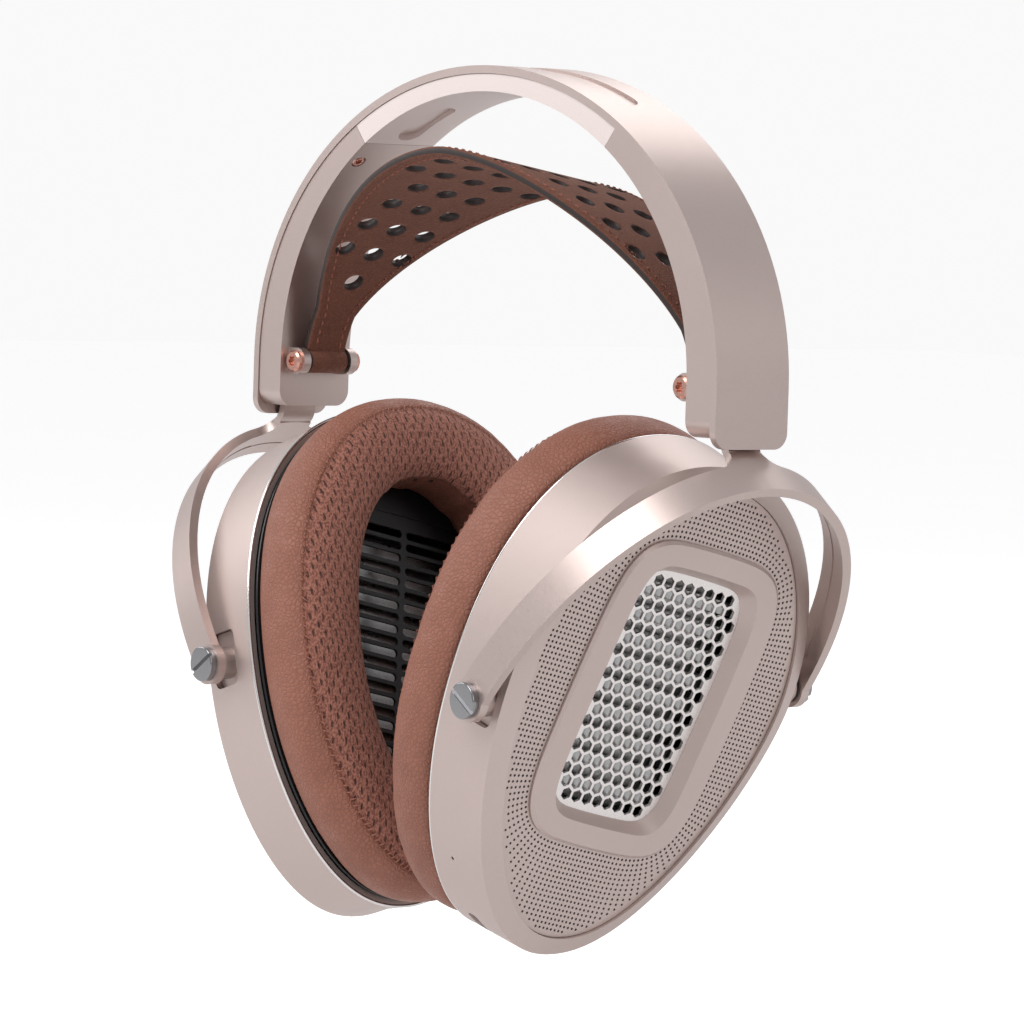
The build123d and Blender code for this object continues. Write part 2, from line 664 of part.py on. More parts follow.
def bend():
    """The curved sheet between the stem and the neck."""
    x, z = neck_end(yoke_lean)
    centre = (x + BEND_RADIUS * math.sin(yoke_lean), z + BEND_RADIUS * math.cos(yoke_lean))
    first = math.atan2(z - centre[1], x - centre[0])
    last = first - (math.pi / 2 - yoke_lean - slide_lean)

    def at(radius, angle):
        return centre[0] + radius * math.cos(angle), centre[1] + radius * math.sin(angle)

    inner, outer = BEND_RADIUS - STEM_THICKNESS / 2, BEND_RADIUS + STEM_THICKNESS / 2
    middle = (first + last) / 2
    sheet = Wire([
        ThreePointArc(at(outer, first), at(outer, middle), at(outer, last)),
        Line(at(outer, last), at(inner, last)),
        ThreePointArc(at(inner, last), at(inner, middle), at(inner, first)),
        Line(at(inner, first), at(outer, first)),
    ])
    return extrude(Plane.XZ * make_face(sheet), STEM_WIDTH / 2, both=True)


def stem():
    """The straight part that slides in the arm, with a thinner tongue for the glide."""
    shoulder = STEM_LENGTH - GLIDE_LENGTH
    length = shoulder + STEM_EXPOSED
    blade = Pos(0, (shoulder - STEM_EXPOSED) / 2, 0) * Box(STEM_WIDTH, length, STEM_THICKNESS)
    tongue = Pos(0, shoulder + TONGUE_LENGTH / 2, 0) * Box(TONGUE_WIDTH, TONGUE_LENGTH, TONGUE_THICKNESS)
    return stem_frame.location * (blade + tongue)


def slider_glide():
    """A plastic shoe on the stem's tongue, wider than the channel's mouth, so that it is the end stop."""
    shoulder = STEM_LENGTH - GLIDE_LENGTH + GLIDE_FIT
    shoe = Box(GLIDE_WIDTH, GLIDE_LENGTH - GLIDE_FIT, GLIDE_THICKNESS)
    shoe = Pos(0, shoulder + GLIDE_LENGTH / 2, 0) * shoe
    pocket_length = TONGUE_LENGTH + 2 * GLIDE_FIT
    shoe -= Pos(0, shoulder + pocket_length / 2 - GLIDE_FIT, 0) * Box(
        TONGUE_WIDTH + 2 * GLIDE_FIT, pocket_length, TONGUE_THICKNESS + 2 * GLIDE_FIT
    )
    return stem_frame.location * shoe


# Pivots

def at_pivots(shape):
    """A shape built along +Z, turned to point out along +Y and along -Y from the pivot axis."""
    back = Pos(PIVOT_X, 0, PIVOT_Z) * Rot(-90, 0, 0) * shape
    return [back, mirror(back, about=Plane.XZ)]


def washer_seat():
    """The washer's inner face: its outer face clears the yoke, which curves inwards above the pivot."""
    yoke_there = YOKE_HALF_SPAN * math.sqrt(1 - (WASHER_RADIUS / YOKE_INNER_RISE) ** 2)
    return yoke_there - WASHER_GAP - WASHER_THICKNESS


def pivot_washers():
    ring = Circle(WASHER_RADIUS) - Circle(PIVOT_SHANK_RADIUS + PIVOT_RUNNING_GAP)
    return at_pivots(Pos(0, 0, washer_seat()) * extrude(ring, WASHER_THICKNESS))


def pivot_screws():
    """Coin slot screws: the shank turns in the yoke and is held in the pivot block."""
    seat = YOKE_HALF_SPAN + YOKE_THICKNESS + WASHER_GAP
    head = extrude(Circle(PIVOT_HEAD_RADIUS), PIVOT_HEAD_THICKNESS)
    head = fillet(head.edges().group_by(Axis.Z)[-1], 0.4)
    cut_floor = PIVOT_HEAD_THICKNESS - PIVOT_SLOT_DEPTH / 2
    coin_slot = Box(3 * PIVOT_HEAD_RADIUS, PIVOT_SLOT_WIDTH, PIVOT_SLOT_DEPTH)
    head -= Pos(0, 0, cut_floor) * Rot(0, 0, PIVOT_SLOT_TURN) * coin_slot
    reach = seat - washer_seat() + PIVOT_SHANK_REACH
    return at_pivots(Pos(0, 0, seat) * (head + extrude(Circle(PIVOT_SHANK_RADIUS), -reach)))


def slot_cut(grow, low, high):
    """The rounded slot in the cup's wall beside the pivot, from low to high along the pivot axis."""
    outline = RectangleRounded(SLOT_WIDTH + 2 * grow, SLOT_LENGTH + 2 * grow, SLOT_CORNER)
    return Pos(SLOT_INWARD, SLOT_RISE, low) * extrude(outline, high - low)


def tilted_at_pivots(shape):
    """As at_pivots, for a shape whose +Y runs up along the cup face and whose +X runs inboard."""
    frame = Plane((PIVOT_X, 0, PIVOT_Z), x_dir=(-math.cos(tilt), 0, math.sin(tilt)), z_dir=(0, 1, 0))
    back = frame.location * shape
    return [back, mirror(back, about=Plane.XZ)]


CAVITY_TOP_W = FACE_W - DISH_SUNK - DISH_THICKNESS - FACE_WALL


def wall_inside(v):
    """The nearer of the wall's two inner faces, front and back, at this height in the cup."""
    along = (v - CUP_CENTRE_V) / (CUP_HALF_HEIGHT - SHELL_WALL)
    angle = math.degrees(math.asin(math.copysign(abs(along) ** (CUP_SQUARENESS / 2), along)))
    return min(abs(cup_point(angle, SHELL_WALL)[0]), abs(cup_point(180 - angle, SHELL_WALL)[0]))


def pivot_blocks():
    """Black blocks behind the wall slots: a flange inside the wall, and a boss out to the washer."""
    reach = SLOT_LENGTH / 2 + BLOCK_FLANGE_EDGE
    flange_top = min(wall_inside(SLOT_RISE + reach), wall_inside(SLOT_RISE - reach)) - BLOCK_FIT
    core_top = CUP_HALF_WIDTH - BLOCK_SUNK
    flange = slot_cut(BLOCK_FLANGE_EDGE, flange_top - BLOCK_FLANGE, flange_top)
    ledge = extrude(Rectangle(SLOT_LENGTH, 4 * SLOT_LENGTH), flange_top)
    flange -= Pos(BLOCK_FIT - CAVITY_TOP_W - SLOT_LENGTH / 2, 0, 0) * ledge
    core = slot_cut(-BLOCK_FIT, flange_top, core_top)
    boss = extrude(Circle(PIVOT_BOSS_RADIUS), washer_seat())
    boss -= extrude(Circle(PIVOT_BOSS_RADIUS + 1), flange_top)
    bore = extrude(Circle(PIVOT_SHANK_RADIUS + THREAD_GAP), 2 * YOKE_HALF_SPAN)
    return tilted_at_pivots(flange + core + boss - bore)


# Cup, in its own frame

def shell_bosses():
    bosses = []
    for angle in SHELL_SCREW_ANGLES:
        u, v = cup_point(angle, SHELL_BOSS_INSET)
        bosses.append(Pos(u, v, BAFFLE_TOP_W + LAYER_GAP))
    return bosses


def cup_shell():
    """A deep shell with a sloped rim, a ledge for the perforated dish and bosses for the baffle."""
    body = between(cup_face(-SHELL_FLARE, SHELL_BACK_W), cup_face(0, RIM_W))
    body += between(cup_face(0, RIM_W), cup_face(RIM_WIDTH, FACE_W))
    cavity = between(cup_face(SHELL_WALL - SHELL_FLARE, SHELL_BACK_W - 1), cup_face(SHELL_WALL, CAVITY_TOP_W))
    body -= cavity
    boss_height = CAVITY_TOP_W - BAFFLE_TOP_W
    for place in shell_bosses():
        post = extrude(Circle(SHELL_BOSS_RADIUS), boss_height)
        body += place * post & cavity
        body -= place * small_hole(-SHELL_SCREW_REACH - 0.5)
    body -= prism(cup_face(RIM_WIDTH, DISH_TOP_W - DISH_THICKNESS - LAYER_GAP / 2), FACE_W)
    body -= prism(cup_face(RIM_WIDTH + DISH_LEDGE, 0), FACE_W)
    return body


def outer_grille():
    """The perforated plate between the rim and the bezel, resting on the shell's ledge."""
    plate = prism(cup_face(RIM_WIDTH + DISH_GAP, DISH_TOP_W - DISH_THICKNESS), DISH_THICKNESS)
    collar = squared_face(
        BEZEL_HALF_WIDTH - BEZEL_LIP + DISH_GAP, BEZEL_HALF_HEIGHT - BEZEL_LIP + DISH_GAP, BEZEL_SQUARENESS, 0
    )
    return plate - prism(collar, 2 * FACE_W)


def bezel():
    """A raised frame: a flange on the dish, a collar through it, and a funnel down to the honeycomb."""
    flange_w = DISH_TOP_W + LAYER_GAP
    size = (BEZEL_HALF_WIDTH, BEZEL_HALF_HEIGHT, BEZEL_SQUARENESS)
    top = (BEZEL_HALF_WIDTH - BEZEL_CHAMFER, BEZEL_HALF_HEIGHT - BEZEL_CHAMFER, BEZEL_SQUARENESS)
    chamfer_w = BEZEL_TOP_W - BEZEL_CHAMFER
    body = prism(squared_face(*size, flange_w), chamfer_w - flange_w)
    body += between(squared_face(*size, chamfer_w), squared_face(*top, BEZEL_TOP_W))
    lip = (BEZEL_HALF_WIDTH - BEZEL_LIP, BEZEL_HALF_HEIGHT - BEZEL_LIP, BEZEL_SQUARENESS)
    bottom = HEX_PLATE_TOP_W - HEX_PLATE_THICKNESS
    body += prism(squared_face(*lip, bottom), flange_w - bottom)
    hole = (OPENING_HALF_WIDTH, OPENING_HALF_HEIGHT, OPENING_SQUARENESS)
    mouth = (OPENING_HALF_WIDTH + OPENING_FUNNEL, OPENING_HALF_HEIGHT + OPENING_FUNNEL, OPENING_SQUARENESS)
    body -= between(squared_face(*hole, HEX_PLATE_TOP_W), squared_face(*mouth, BEZEL_TOP_W))
    rebate = HEX_PLATE_EDGE + HEX_FIT
    seat = (OPENING_HALF_WIDTH + rebate, OPENING_HALF_HEIGHT + rebate, OPENING_SQUARENESS)
    return body - prism(squared_face(*seat, bottom - 1), HEX_PLATE_THICKNESS + 1 + HEX_FIT / 2)


def hex_grille():
    """A thin honeycomb plate, its rows running across the bezel."""
    edge = (OPENING_HALF_WIDTH + HEX_PLATE_EDGE, OPENING_HALF_HEIGHT + HEX_PLATE_EDGE, OPENING_SQUARENESS)
    bottom = HEX_PLATE_TOP_W - HEX_PLATE_THICKNESS
    outline = squared_face(*edge, bottom).face().outer_wire()
    hole_radius = (HEX_PITCH - HEX_WEB) / math.sqrt(3)
    row_height = HEX_PITCH * math.sqrt(3) / 2
    rows = int(OPENING_HALF_HEIGHT / row_height) + 1
    columns = int(OPENING_HALF_WIDTH / HEX_PITCH) + 1
    room_across = OPENING_HALF_WIDTH - HEX_WEB
    room_along = OPENING_HALF_HEIGHT - HEX_WEB
    holes = []
    for row in range(-rows, rows + 1):
        for column in range(-columns, columns + 1):
            across = (column + 0.5 * (row % 2)) * HEX_PITCH
            along = row * row_height
            far_across = (abs(across) + hole_radius * 0.6) / room_across
            far_along = (abs(along) + hole_radius * 0.6) / room_along
            if far_across ** OPENING_SQUARENESS + far_along ** OPENING_SQUARENESS < 1:
                cell = RegularPolygon(hole_radius, 6, rotation=30)
                holes.append((leaning(across, along, bottom) * cell).face().outer_wire())
    return prism(Face(outline, holes), HEX_PLATE_THICKNESS)


def magnet_array(w):
    """Bar magnets across the driver, resting on a frame's two sides."""
    length = 2 * (FRAME_OPENING_HALF_WIDTH + MAGNET_SEAT)
    bars = []
    for i in range(MAGNET_COUNT):
        along = (i - (MAGNET_COUNT - 1) / 2) * MAGNET_PITCH
        bar = Box(length, MAGNET_WIDTH, MAGNET_THICKNESS)
        bar = chamfer(bar.edges().filter_by(Axis.Z), 0.4)
        bars.append(leaning(0, along, w + MAGNET_THICKNESS / 2) * bar)
    return bars


def driver_screw_spots():
    return [(a * DRIVER_SCREW_ACROSS, b * DRIVER_SCREW_ALONG) for a in (1, -1) for b in (1, -1)]


def driver_frame(w):
    frame = prism(squared_face(FRAME_HALF_WIDTH, FRAME_HALF_HEIGHT, FRAME_SQUARENESS, w), FRAME_THICKNESS)
    hole = (FRAME_OPENING_HALF_WIDTH, FRAME_OPENING_HALF_HEIGHT, FRAME_SQUARENESS)
    frame -= prism(squared_face(*hole, w - 1), FRAME_THICKNESS + 2)
    for spot in driver_screw_spots():
        frame -= leaning(*spot, w - 1) * extrude(Circle(SMALL_SHANK_RADIUS + THREAD_GAP), FRAME_THICKNESS + 2)
    return frame


def diaphragm():
    size = (FRAME_OPENING_HALF_WIDTH + DIAPHRAGM_EDGE, FRAME_OPENING_HALF_HEIGHT + DIAPHRAGM_EDGE)
    film = DIAPHRAGM_THICKNESS * 0.9
    return prism(squared_face(*size, FRAME_SQUARENESS, DIAPHRAGM_W - film / 2), film)


def voice_trace():
    """The flat conductor that runs back and forth over the diaphragm."""
    w = DIAPHRAGM_W + DIAPHRAGM_THICKNESS / 2 + TRACE_THICKNESS / 2
    half = FRAME_OPENING_HALF_WIDTH - 3
    trace = None
    for i in range(MAGNET_COUNT - 1):
        along = (i - (MAGNET_COUNT - 2) / 2) * MAGNET_PITCH
        run = leaning(0, along, w) * Box(2 * half, TRACE_WIDTH, TRACE_THICKNESS)
        trace = run if trace is None else trace + run
        if i < MAGNET_COUNT - 2:
            side = half - TRACE_WIDTH / 2 if i % 2 else TRACE_WIDTH / 2 - half
            link = Box(TRACE_WIDTH, MAGNET_PITCH, TRACE_THICKNESS)
            trace += leaning(side, along + MAGNET_PITCH / 2, w) * link
    return trace


def driver_screws():
    seat = OUTER_FRAME_W + FRAME_THICKNESS
    reach = seat - INNER_FRAME_W + DRIVER_SCREW_REACH
    return [leaning(*spot, seat) * small_screw(reach) for spot in driver_screw_spots()]


def baffle(left):
    """The plate behind the driver, with posts for the driver and, on the left, for the board."""
    plate = prism(cup_face(SHELL_WALL + BAFFLE_FIT, BAFFLE_W), BAFFLE_THICKNESS)
    hole = (EAR_OPENING_HALF_WIDTH, EAR_OPENING_HALF_HEIGHT, FRAME_SQUARENESS)
    plate -= prism(squared_face(*hole, BAFFLE_W - 1), BAFFLE_THICKNESS + 2)
    rebate = [size + EAR_GRILLE_REBATE for size in hole[:2]]
    seat = squared_face(*rebate, FRAME_SQUARENESS, BAFFLE_W - 1)
    plate -= prism(seat, 1 + EAR_GRILLE_THICKNESS + EAR_GRILLE_FIT)
    for spot in driver_screw_spots():
        post = extrude(Circle(DRIVER_POST_RADIUS), INNER_FRAME_W - LAYER_GAP - BAFFLE_TOP_W)
        plate += leaning(*spot, BAFFLE_TOP_W) * post
        plate -= leaning(*spot, INNER_FRAME_W) * small_hole(DRIVER_SCREW_REACH + 0.5)
    for place in shell_bosses():
        plate -= place * Pos(0, 0, -BAFFLE_THICKNESS * 3) * extrude(
            Circle(SMALL_SHANK_RADIUS + THREAD_GAP), 6 * BAFFLE_THICKNESS
        )
        plate -= place * Pos(0, 0, -LAYER_GAP - BAFFLE_THICKNESS) * extrude(
            Circle(SMALL_HEAD_RADIUS + THREAD_GAP), SMALL_HEAD_HEIGHT
        )
    if left:
        for u, v in board_posts():
            height = board_w() - LAYER_GAP - BAFFLE_TOP_W
            plate += Pos(u, v, BAFFLE_TOP_W) * extrude(Circle(BOARD_POST_RADIUS), height)
            plate -= Pos(u, v, BAFFLE_W) * extrude(Circle(SMALL_SHANK_RADIUS + THREAD_GAP), 10)
    return plate


def shell_screws():
    """Screws through the baffle into the shell's bosses, their heads sunk into the baffle."""
    seats = []
    reach = BAFFLE_THICKNESS - SMALL_HEAD_HEIGHT + LAYER_GAP + SHELL_SCREW_REACH
    for place in shell_bosses():
        seat = place * Pos(0, 0, -LAYER_GAP - BAFFLE_THICKNESS + SMALL_HEAD_HEIGHT)
        seats.append(seat * Rot(180, 0, 0) * small_screw(reach))
    return seats


def ear_grille():
    """A black plate with rows of slots in front of the driver, on the ear's side."""
    edge = EAR_GRILLE_REBATE - EAR_GRILLE_FIT
    size = (EAR_OPENING_HALF_WIDTH + edge, EAR_OPENING_HALF_HEIGHT + edge)
    outline = squared_face(*size, FRAME_SQUARENESS, BAFFLE_W).face().outer_wire()
    rows = int((EAR_OPENING_HALF_HEIGHT - EAR_SLOT_HEIGHT) / EAR_SLOT_PITCH)
    slots = []
    for row in range(-rows, rows + 1):
        fullness = 1 - (abs(row) * EAR_SLOT_PITCH / EAR_OPENING_HALF_HEIGHT) ** FRAME_SQUARENESS
        half = (EAR_OPENING_HALF_WIDTH - 1) * fullness ** (1 / FRAME_SQUARENESS) / 2 - 1
        for side in (1, -1):
            slot = SlotOverall(2 * half, EAR_SLOT_HEIGHT)
            place = leaning(side * (half + 0.7), row * EAR_SLOT_PITCH, BAFFLE_W)
            slots.append((place * slot).face().outer_wire())
    return prism(Face(outline, slots), EAR_GRILLE_THICKNESS)


def pad_ring():
    """The black ring that the pad is fitted on, seen as a dark line between shell and pad."""
    ring = prism(cup_face(PAD_RING_INSET, RING_W), PAD_RING_THICKNESS)
    return ring - prism(cup_face(PAD_RING_INSET + PAD_RING_WIDTH, RING_W - 1), PAD_RING_THICKNESS + 2)


def ear_pad():
    sections = [cup_face(inset, w) for inset, w in pad_sections()]
    pad = between(*sections)
    return pad - prism(cup_face(PAD_OPENING_INSET, PAD_FACE_W - 1), PAD_THICKNESS + 2)


# Electronics

def port_frame():
    return wall_frame(PORT_ANGLE, PORT_W, -SHELL_FLARE).location


def wall_cuts():
    """Holes through the left shell's wall: charging port, microphone and indicator light."""
    port = RectangleRounded(PORT_WIDTH + 2 * PORT_CLEARANCE, PORT_HEIGHT + 2 * PORT_CLEARANCE, 1.5)
    cuts = port_frame() * extrude(port, 3 * SHELL_WALL, both=True)
    mic = wall_frame(MIC_ANGLE, MIC_W).location * extrude(Circle(MIC_HOLE_RADIUS), 3 * SHELL_WALL, both=True)
    light = SlotOverall(LIGHT_LENGTH + 2 * LIGHT_FIT, LIGHT_WIDTH + 2 * LIGHT_FIT)
    return [cuts, mic, wall_frame(LIGHT_ANGLE, LIGHT_W).location * extrude(light, 3 * SHELL_WALL, both=True)]


def usb_receptacle():
    """A metal shell with its contact tongue, opening out through the wall."""
    half_height = PORT_HEIGHT / 2
    can = extrude(RectangleRounded(PORT_WIDTH, PORT_HEIGHT, half_height * 0.8), -PORT_DEPTH)
    inside = RectangleRounded(PORT_WIDTH - 2 * PORT_WALL, PORT_HEIGHT - 2 * PORT_WALL, half_height * 0.7)
    can -= extrude(inside, -PORT_DEPTH + 1)
    tongue = Pos(0, 0, -PORT_DEPTH / 2) * Box(PORT_TONGUE_WIDTH, TONGUE_HEIGHT, PORT_DEPTH - 1.6)
    return port_frame() * Pos(0, 0, -SHELL_WALL * 0.6) * (can + Pos(0, 0, -0.5) * tongue)


def board_w():
    """Top of the board's posts: the receptacle rests on the board."""
    return PORT_W - PORT_HEIGHT / 2 - LAYER_GAP - BOARD_THICKNESS


def board_centre():
    v = CUP_CENTRE_V - CUP_HALF_HEIGHT + BOARD_MARGIN + BOARD_HEIGHT / 2
    return CUP_CENTRE_U + CUP_LEAN * ramp(v, CUP_LEAN_SOFTNESS), v


def board_posts():
    u, v = board_centre()
    return [(u + side * BOARD_POST_SPACING / 2, v + BOARD_HEIGHT / 4) for side in (1, -1)]


def circuit_board():
    u, v = board_centre()
    board = Pos(u, v, board_w()) * extrude(RectangleRounded(BOARD_WIDTH, BOARD_HEIGHT, 2), BOARD_THICKNESS)
    for post_u, post_v in board_posts():
        board -= Pos(post_u, post_v, board_w() - 1) * extrude(Circle(SMALL_SHANK_RADIUS + THREAD_GAP), 5)
    chip = Pos(u, v, board_w() + BOARD_THICKNESS) * extrude(Rectangle(6, 6), 0.9)
    return board + chip


def board_screws():
    seat = board_w() + BOARD_THICKNESS
    return [Pos(u, v, seat) * small_screw(BOARD_THICKNESS + 2.0) for u, v in board_posts()]


def microphone():
    place = wall_frame(MIC_ANGLE, MIC_W, SHELL_WALL + 0.4).location
    return place * extrude(Circle(MIC_RADIUS), -MIC_HEIGHT)


def indicator_light():
    lens = extrude(SlotOverall(LIGHT_LENGTH, LIGHT_WIDTH), -SHELL_WALL)
    return wall_frame(LIGHT_ANGLE, LIGHT_W).location * lens


def battery():
    u, v = board_centre()
    cell = Pos(u, v, BAFFLE_TOP_W + LAYER_GAP) * extrude(
        RectangleRounded(BATTERY_WIDTH, BATTERY_HEIGHT, 2), BATTERY_THICKNESS
    )
    return fillet(cell.edges().group_by(Axis.Z)[-1], 1.0)


# Output

def write(name, shape):
    """One file per piece, moved so that the head seat is the origin."""
    solids = [solid for item in (shape if isinstance(shape, list) else [shape]) for solid in item.solids()]
    moved = [Pos(0, 0, -SEAT_Z) * solid for solid in solids]
    piece = moved[0] if len(moved) == 1 else Compound(children=moved)
    export_step(piece, os.path.join("parts", name + ".step"))


def mirrored(shape):
    if isinstance(shape, list):
        return [mirror(item, about=Plane.YZ) for item in shape]
    return mirror(shape, about=Plane.YZ)


def in_cup(shape):
    place = cup_frame.location
    if isinstance(shape, list):
        return [place * item for item in shape]
    return place * shape


def write_pair(name, shape):
    write("left_" + name, shape)
    write("right_" + name, mirrored(shape))


def write_headband():
    write("headband_strip", headband_strip())
    write("crown_liner", crown_liner())
    write_pair("arm_housing", arm_housing())
    write_pair("slider_spring", slider_spring())
    write_pair("strap_bar", strap_bar())
    screws = [place * small_screw(arm_screw_length()) for place in arm_screw_places()]
    write("arm_screws", screws)
    bar_screws = strap_screws()
    write("strap_screws", bar_screws + mirrored(bar_screws))
    write("head_strap", head_strap())


def write_yokes():
    write_pair("yoke", yoke())
    write_pair("slider_glide", slider_glide())
    write_pair("pivot_washers", pivot_washers())


def write_cups():
    shell = in_cup(cup_shell())
    slots = tilted_at_pivots(slot_cut(0, CUP_HALF_WIDTH * 0.8, CUP_HALF_WIDTH + SHELL_FLARE))
    shell = shell - slots[0] - slots[1]
    write("right_cup_shell", mirrored(shell))
    for cut in wall_cuts():
        shell -= in_cup(cut)
    write("left_cup_shell", shell)
    write_pair("pivot_blocks", pivot_blocks())
    write_pair("pivot_screws", pivot_screws())
    write_pair("outer_grille", in_cup(outer_grille()))
    write_pair("bezel", in_cup(bezel()))
    write_pair("hex_grille", in_cup(hex_grille()))
    write_pair("outer_magnets", in_cup(magnet_array(OUTER_FRAME_W + FRAME_THICKNESS)))
    write_pair("outer_driver_frame", in_cup(driver_frame(OUTER_FRAME_W)))
    write_pair("diaphragm", in_cup(diaphragm()))
    write_pair("voice_trace", in_cup(voice_trace()))
    write_pair("inner_driver_frame", in_cup(driver_frame(INNER_FRAME_W)))
    write_pair("inner_magnets", in_cup(magnet_array(INNER_FRAME_W - MAGNET_THICKNESS)))
    write_pair("driver_screws", in_cup(driver_screws()))
    write("left_baffle", in_cup(baffle(left=True)))
    write("right_baffle", mirrored(in_cup(baffle(left=False))))
    write_pair("shell_screws", in_cup(shell_screws()))
    write_pair("ear_grille", in_cup(ear_grille()))
    write_pair("pad_ring", in_cup(pad_ring()))
    write_pair("ear_pad", in_cup(ear_pad()))


def write_electronics():
    write("left_circuit_board", in_cup(circuit_board()))
    write("left_board_screws", in_cup(board_screws()))
    write("left_usb_receptacle", in_cup(usb_receptacle()))
    write("left_microphone", in_cup(microphone()))
    write("left_indicator_light", in_cup(indicator_light()))
    write("right_battery", mirrored(in_cup(battery())))


os.makedirs("parts", exist_ok=True)
write_headband()
write_yokes()
write_cups()
write_electronics()
print("pivot", round(PIVOT_X, 2), round(PIVOT_Z - SEAT_Z, 2), "yoke lean", round(math.degrees(yoke_lean), 2))
print("slide lean", round(math.degrees(slide_lean), 2))
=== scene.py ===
"""Looks for the over ear headphones: finishes, suede strap, leather pads and perforated plates.

The row frame has its origin at the head seat, +Z up, with the wearer facing -Y and the left ear on +X.
Cup sizes are in millimetres in the cup's own frame: u runs back, v up along the face, w outboard.
"""

import json
import math

import bmesh
import bpy
from mathutils import Matrix, Vector, noise


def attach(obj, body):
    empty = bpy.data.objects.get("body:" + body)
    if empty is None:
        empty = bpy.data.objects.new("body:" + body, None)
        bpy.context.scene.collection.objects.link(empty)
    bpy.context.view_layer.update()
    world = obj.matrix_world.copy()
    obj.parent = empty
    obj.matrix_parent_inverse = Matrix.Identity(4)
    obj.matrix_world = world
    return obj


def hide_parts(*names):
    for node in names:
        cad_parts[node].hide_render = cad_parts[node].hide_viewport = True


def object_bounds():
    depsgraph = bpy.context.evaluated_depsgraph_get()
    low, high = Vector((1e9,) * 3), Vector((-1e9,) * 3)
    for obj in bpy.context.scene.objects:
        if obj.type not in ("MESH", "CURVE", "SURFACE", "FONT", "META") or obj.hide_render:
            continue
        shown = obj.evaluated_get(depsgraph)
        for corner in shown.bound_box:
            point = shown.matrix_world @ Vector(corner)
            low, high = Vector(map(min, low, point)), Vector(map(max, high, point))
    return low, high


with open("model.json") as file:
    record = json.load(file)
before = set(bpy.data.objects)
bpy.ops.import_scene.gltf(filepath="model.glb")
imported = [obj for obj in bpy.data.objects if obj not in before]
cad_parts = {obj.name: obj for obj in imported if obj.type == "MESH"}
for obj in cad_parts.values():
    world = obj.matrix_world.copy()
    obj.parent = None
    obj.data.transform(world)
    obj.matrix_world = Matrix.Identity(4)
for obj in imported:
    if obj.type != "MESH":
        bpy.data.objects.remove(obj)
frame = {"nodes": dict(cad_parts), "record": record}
CAD_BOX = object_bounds()

MM = 0.001
RECORD = frame["record"]
JOINTS = {joint["name"]: joint for joint in RECORD["behaviour"]["joints"]}
MOUNTS = {mount["name"]: mount for mount in RECORD["mounts"]}
SIDES = {"left": 1, "right": -1}

# Cup frame, from the tilt joint and the pad face's normal
PIVOT = Vector(JOINTS["left_tilt"]["pos_m"])
OUTBOARD = -Vector(MOUNTS["left_pad_face"]["axis"])
UPWARD = Vector((-OUTBOARD.z, 0, OUTBOARD.x))

# Cup outline
CUP_HALF_WIDTH = 47.6
CUP_HALF_HEIGHT = 63.0
CUP_SQUARENESS = 2.12
CUP_CENTRE_V = -2.4
CUP_CENTRE_U = 1.0
CUP_LEAN = 0.2
CUP_LEAN_SOFTNESS = 15.0
CUP_TAPER = 0.2
CUP_TAPER_SOFTNESS = 0.2
RIM_WIDTH = 4.9
SHELL_BACK_W = -13.0
SHELL_FLARE = 1.1

# Perforated plate and the bezel's outline
PLATE_TOP_W = 7.4
PLATE_THICKNESS = 0.5
PLATE_GAP = 0.15
# Heights of the near-black sheet under the plate, which paints shade into its holes
SHADE_SHEET_TOP_W = 6.78
SHADE_SHEET_W = 6.62
BEZEL_LEAN = 13.7
BEZEL_U = -0.5
BEZEL_V = 1.1
BEZEL_HALF_WIDTH = 28.2
BEZEL_HALF_HEIGHT = 39.4
BEZEL_SQUARENESS = 4.5
BEZEL_COVER = 2.6
HOLE_PITCH = 1.3
HOLE_RADIUS = 0.36
HOLE_MARGIN = 0.35
DENSE = 1440

# Ear pad
PAD_BACK_W = -15.3
PAD_THICKNESS = 19.0
PAD_FACE_W = PAD_BACK_W - PAD_THICKNESS
PAD_SEGMENTS = 260
KNIT_COLUMN_MM = 2.8
KNIT_ROW_MM = 4.0

# Head strap, in the arch's frame, whose centre lies below the head seat
SEAT_Z = 48.5
BAR_X = 75.0
BAR_HEIGHT = -0.5
STRAP_CROWN_Z = 50.0
STRAP_SHARPNESS = 1.7
STRAP_THICKNESS = 2.3
STRAP_LEAN = 9.0
STRAP_END_HALF = 6.0
STRAP_CROWN_HALF = 25.0
STRAP_CLEAR = 70.6
STRAP_HOLE_RADIUS = 2.6
STRAP_HOLE_ROWS = (5, 5, 3, 3, 3, 3, 1)
STRAP_ROW_START = 5.5
STRAP_ROW_PITCH = 11.1
STRAP_COLUMN_PITCH = 9.3
LOOP_OUTER = 3.05
LOOP_INNER = 1.85


# Materials

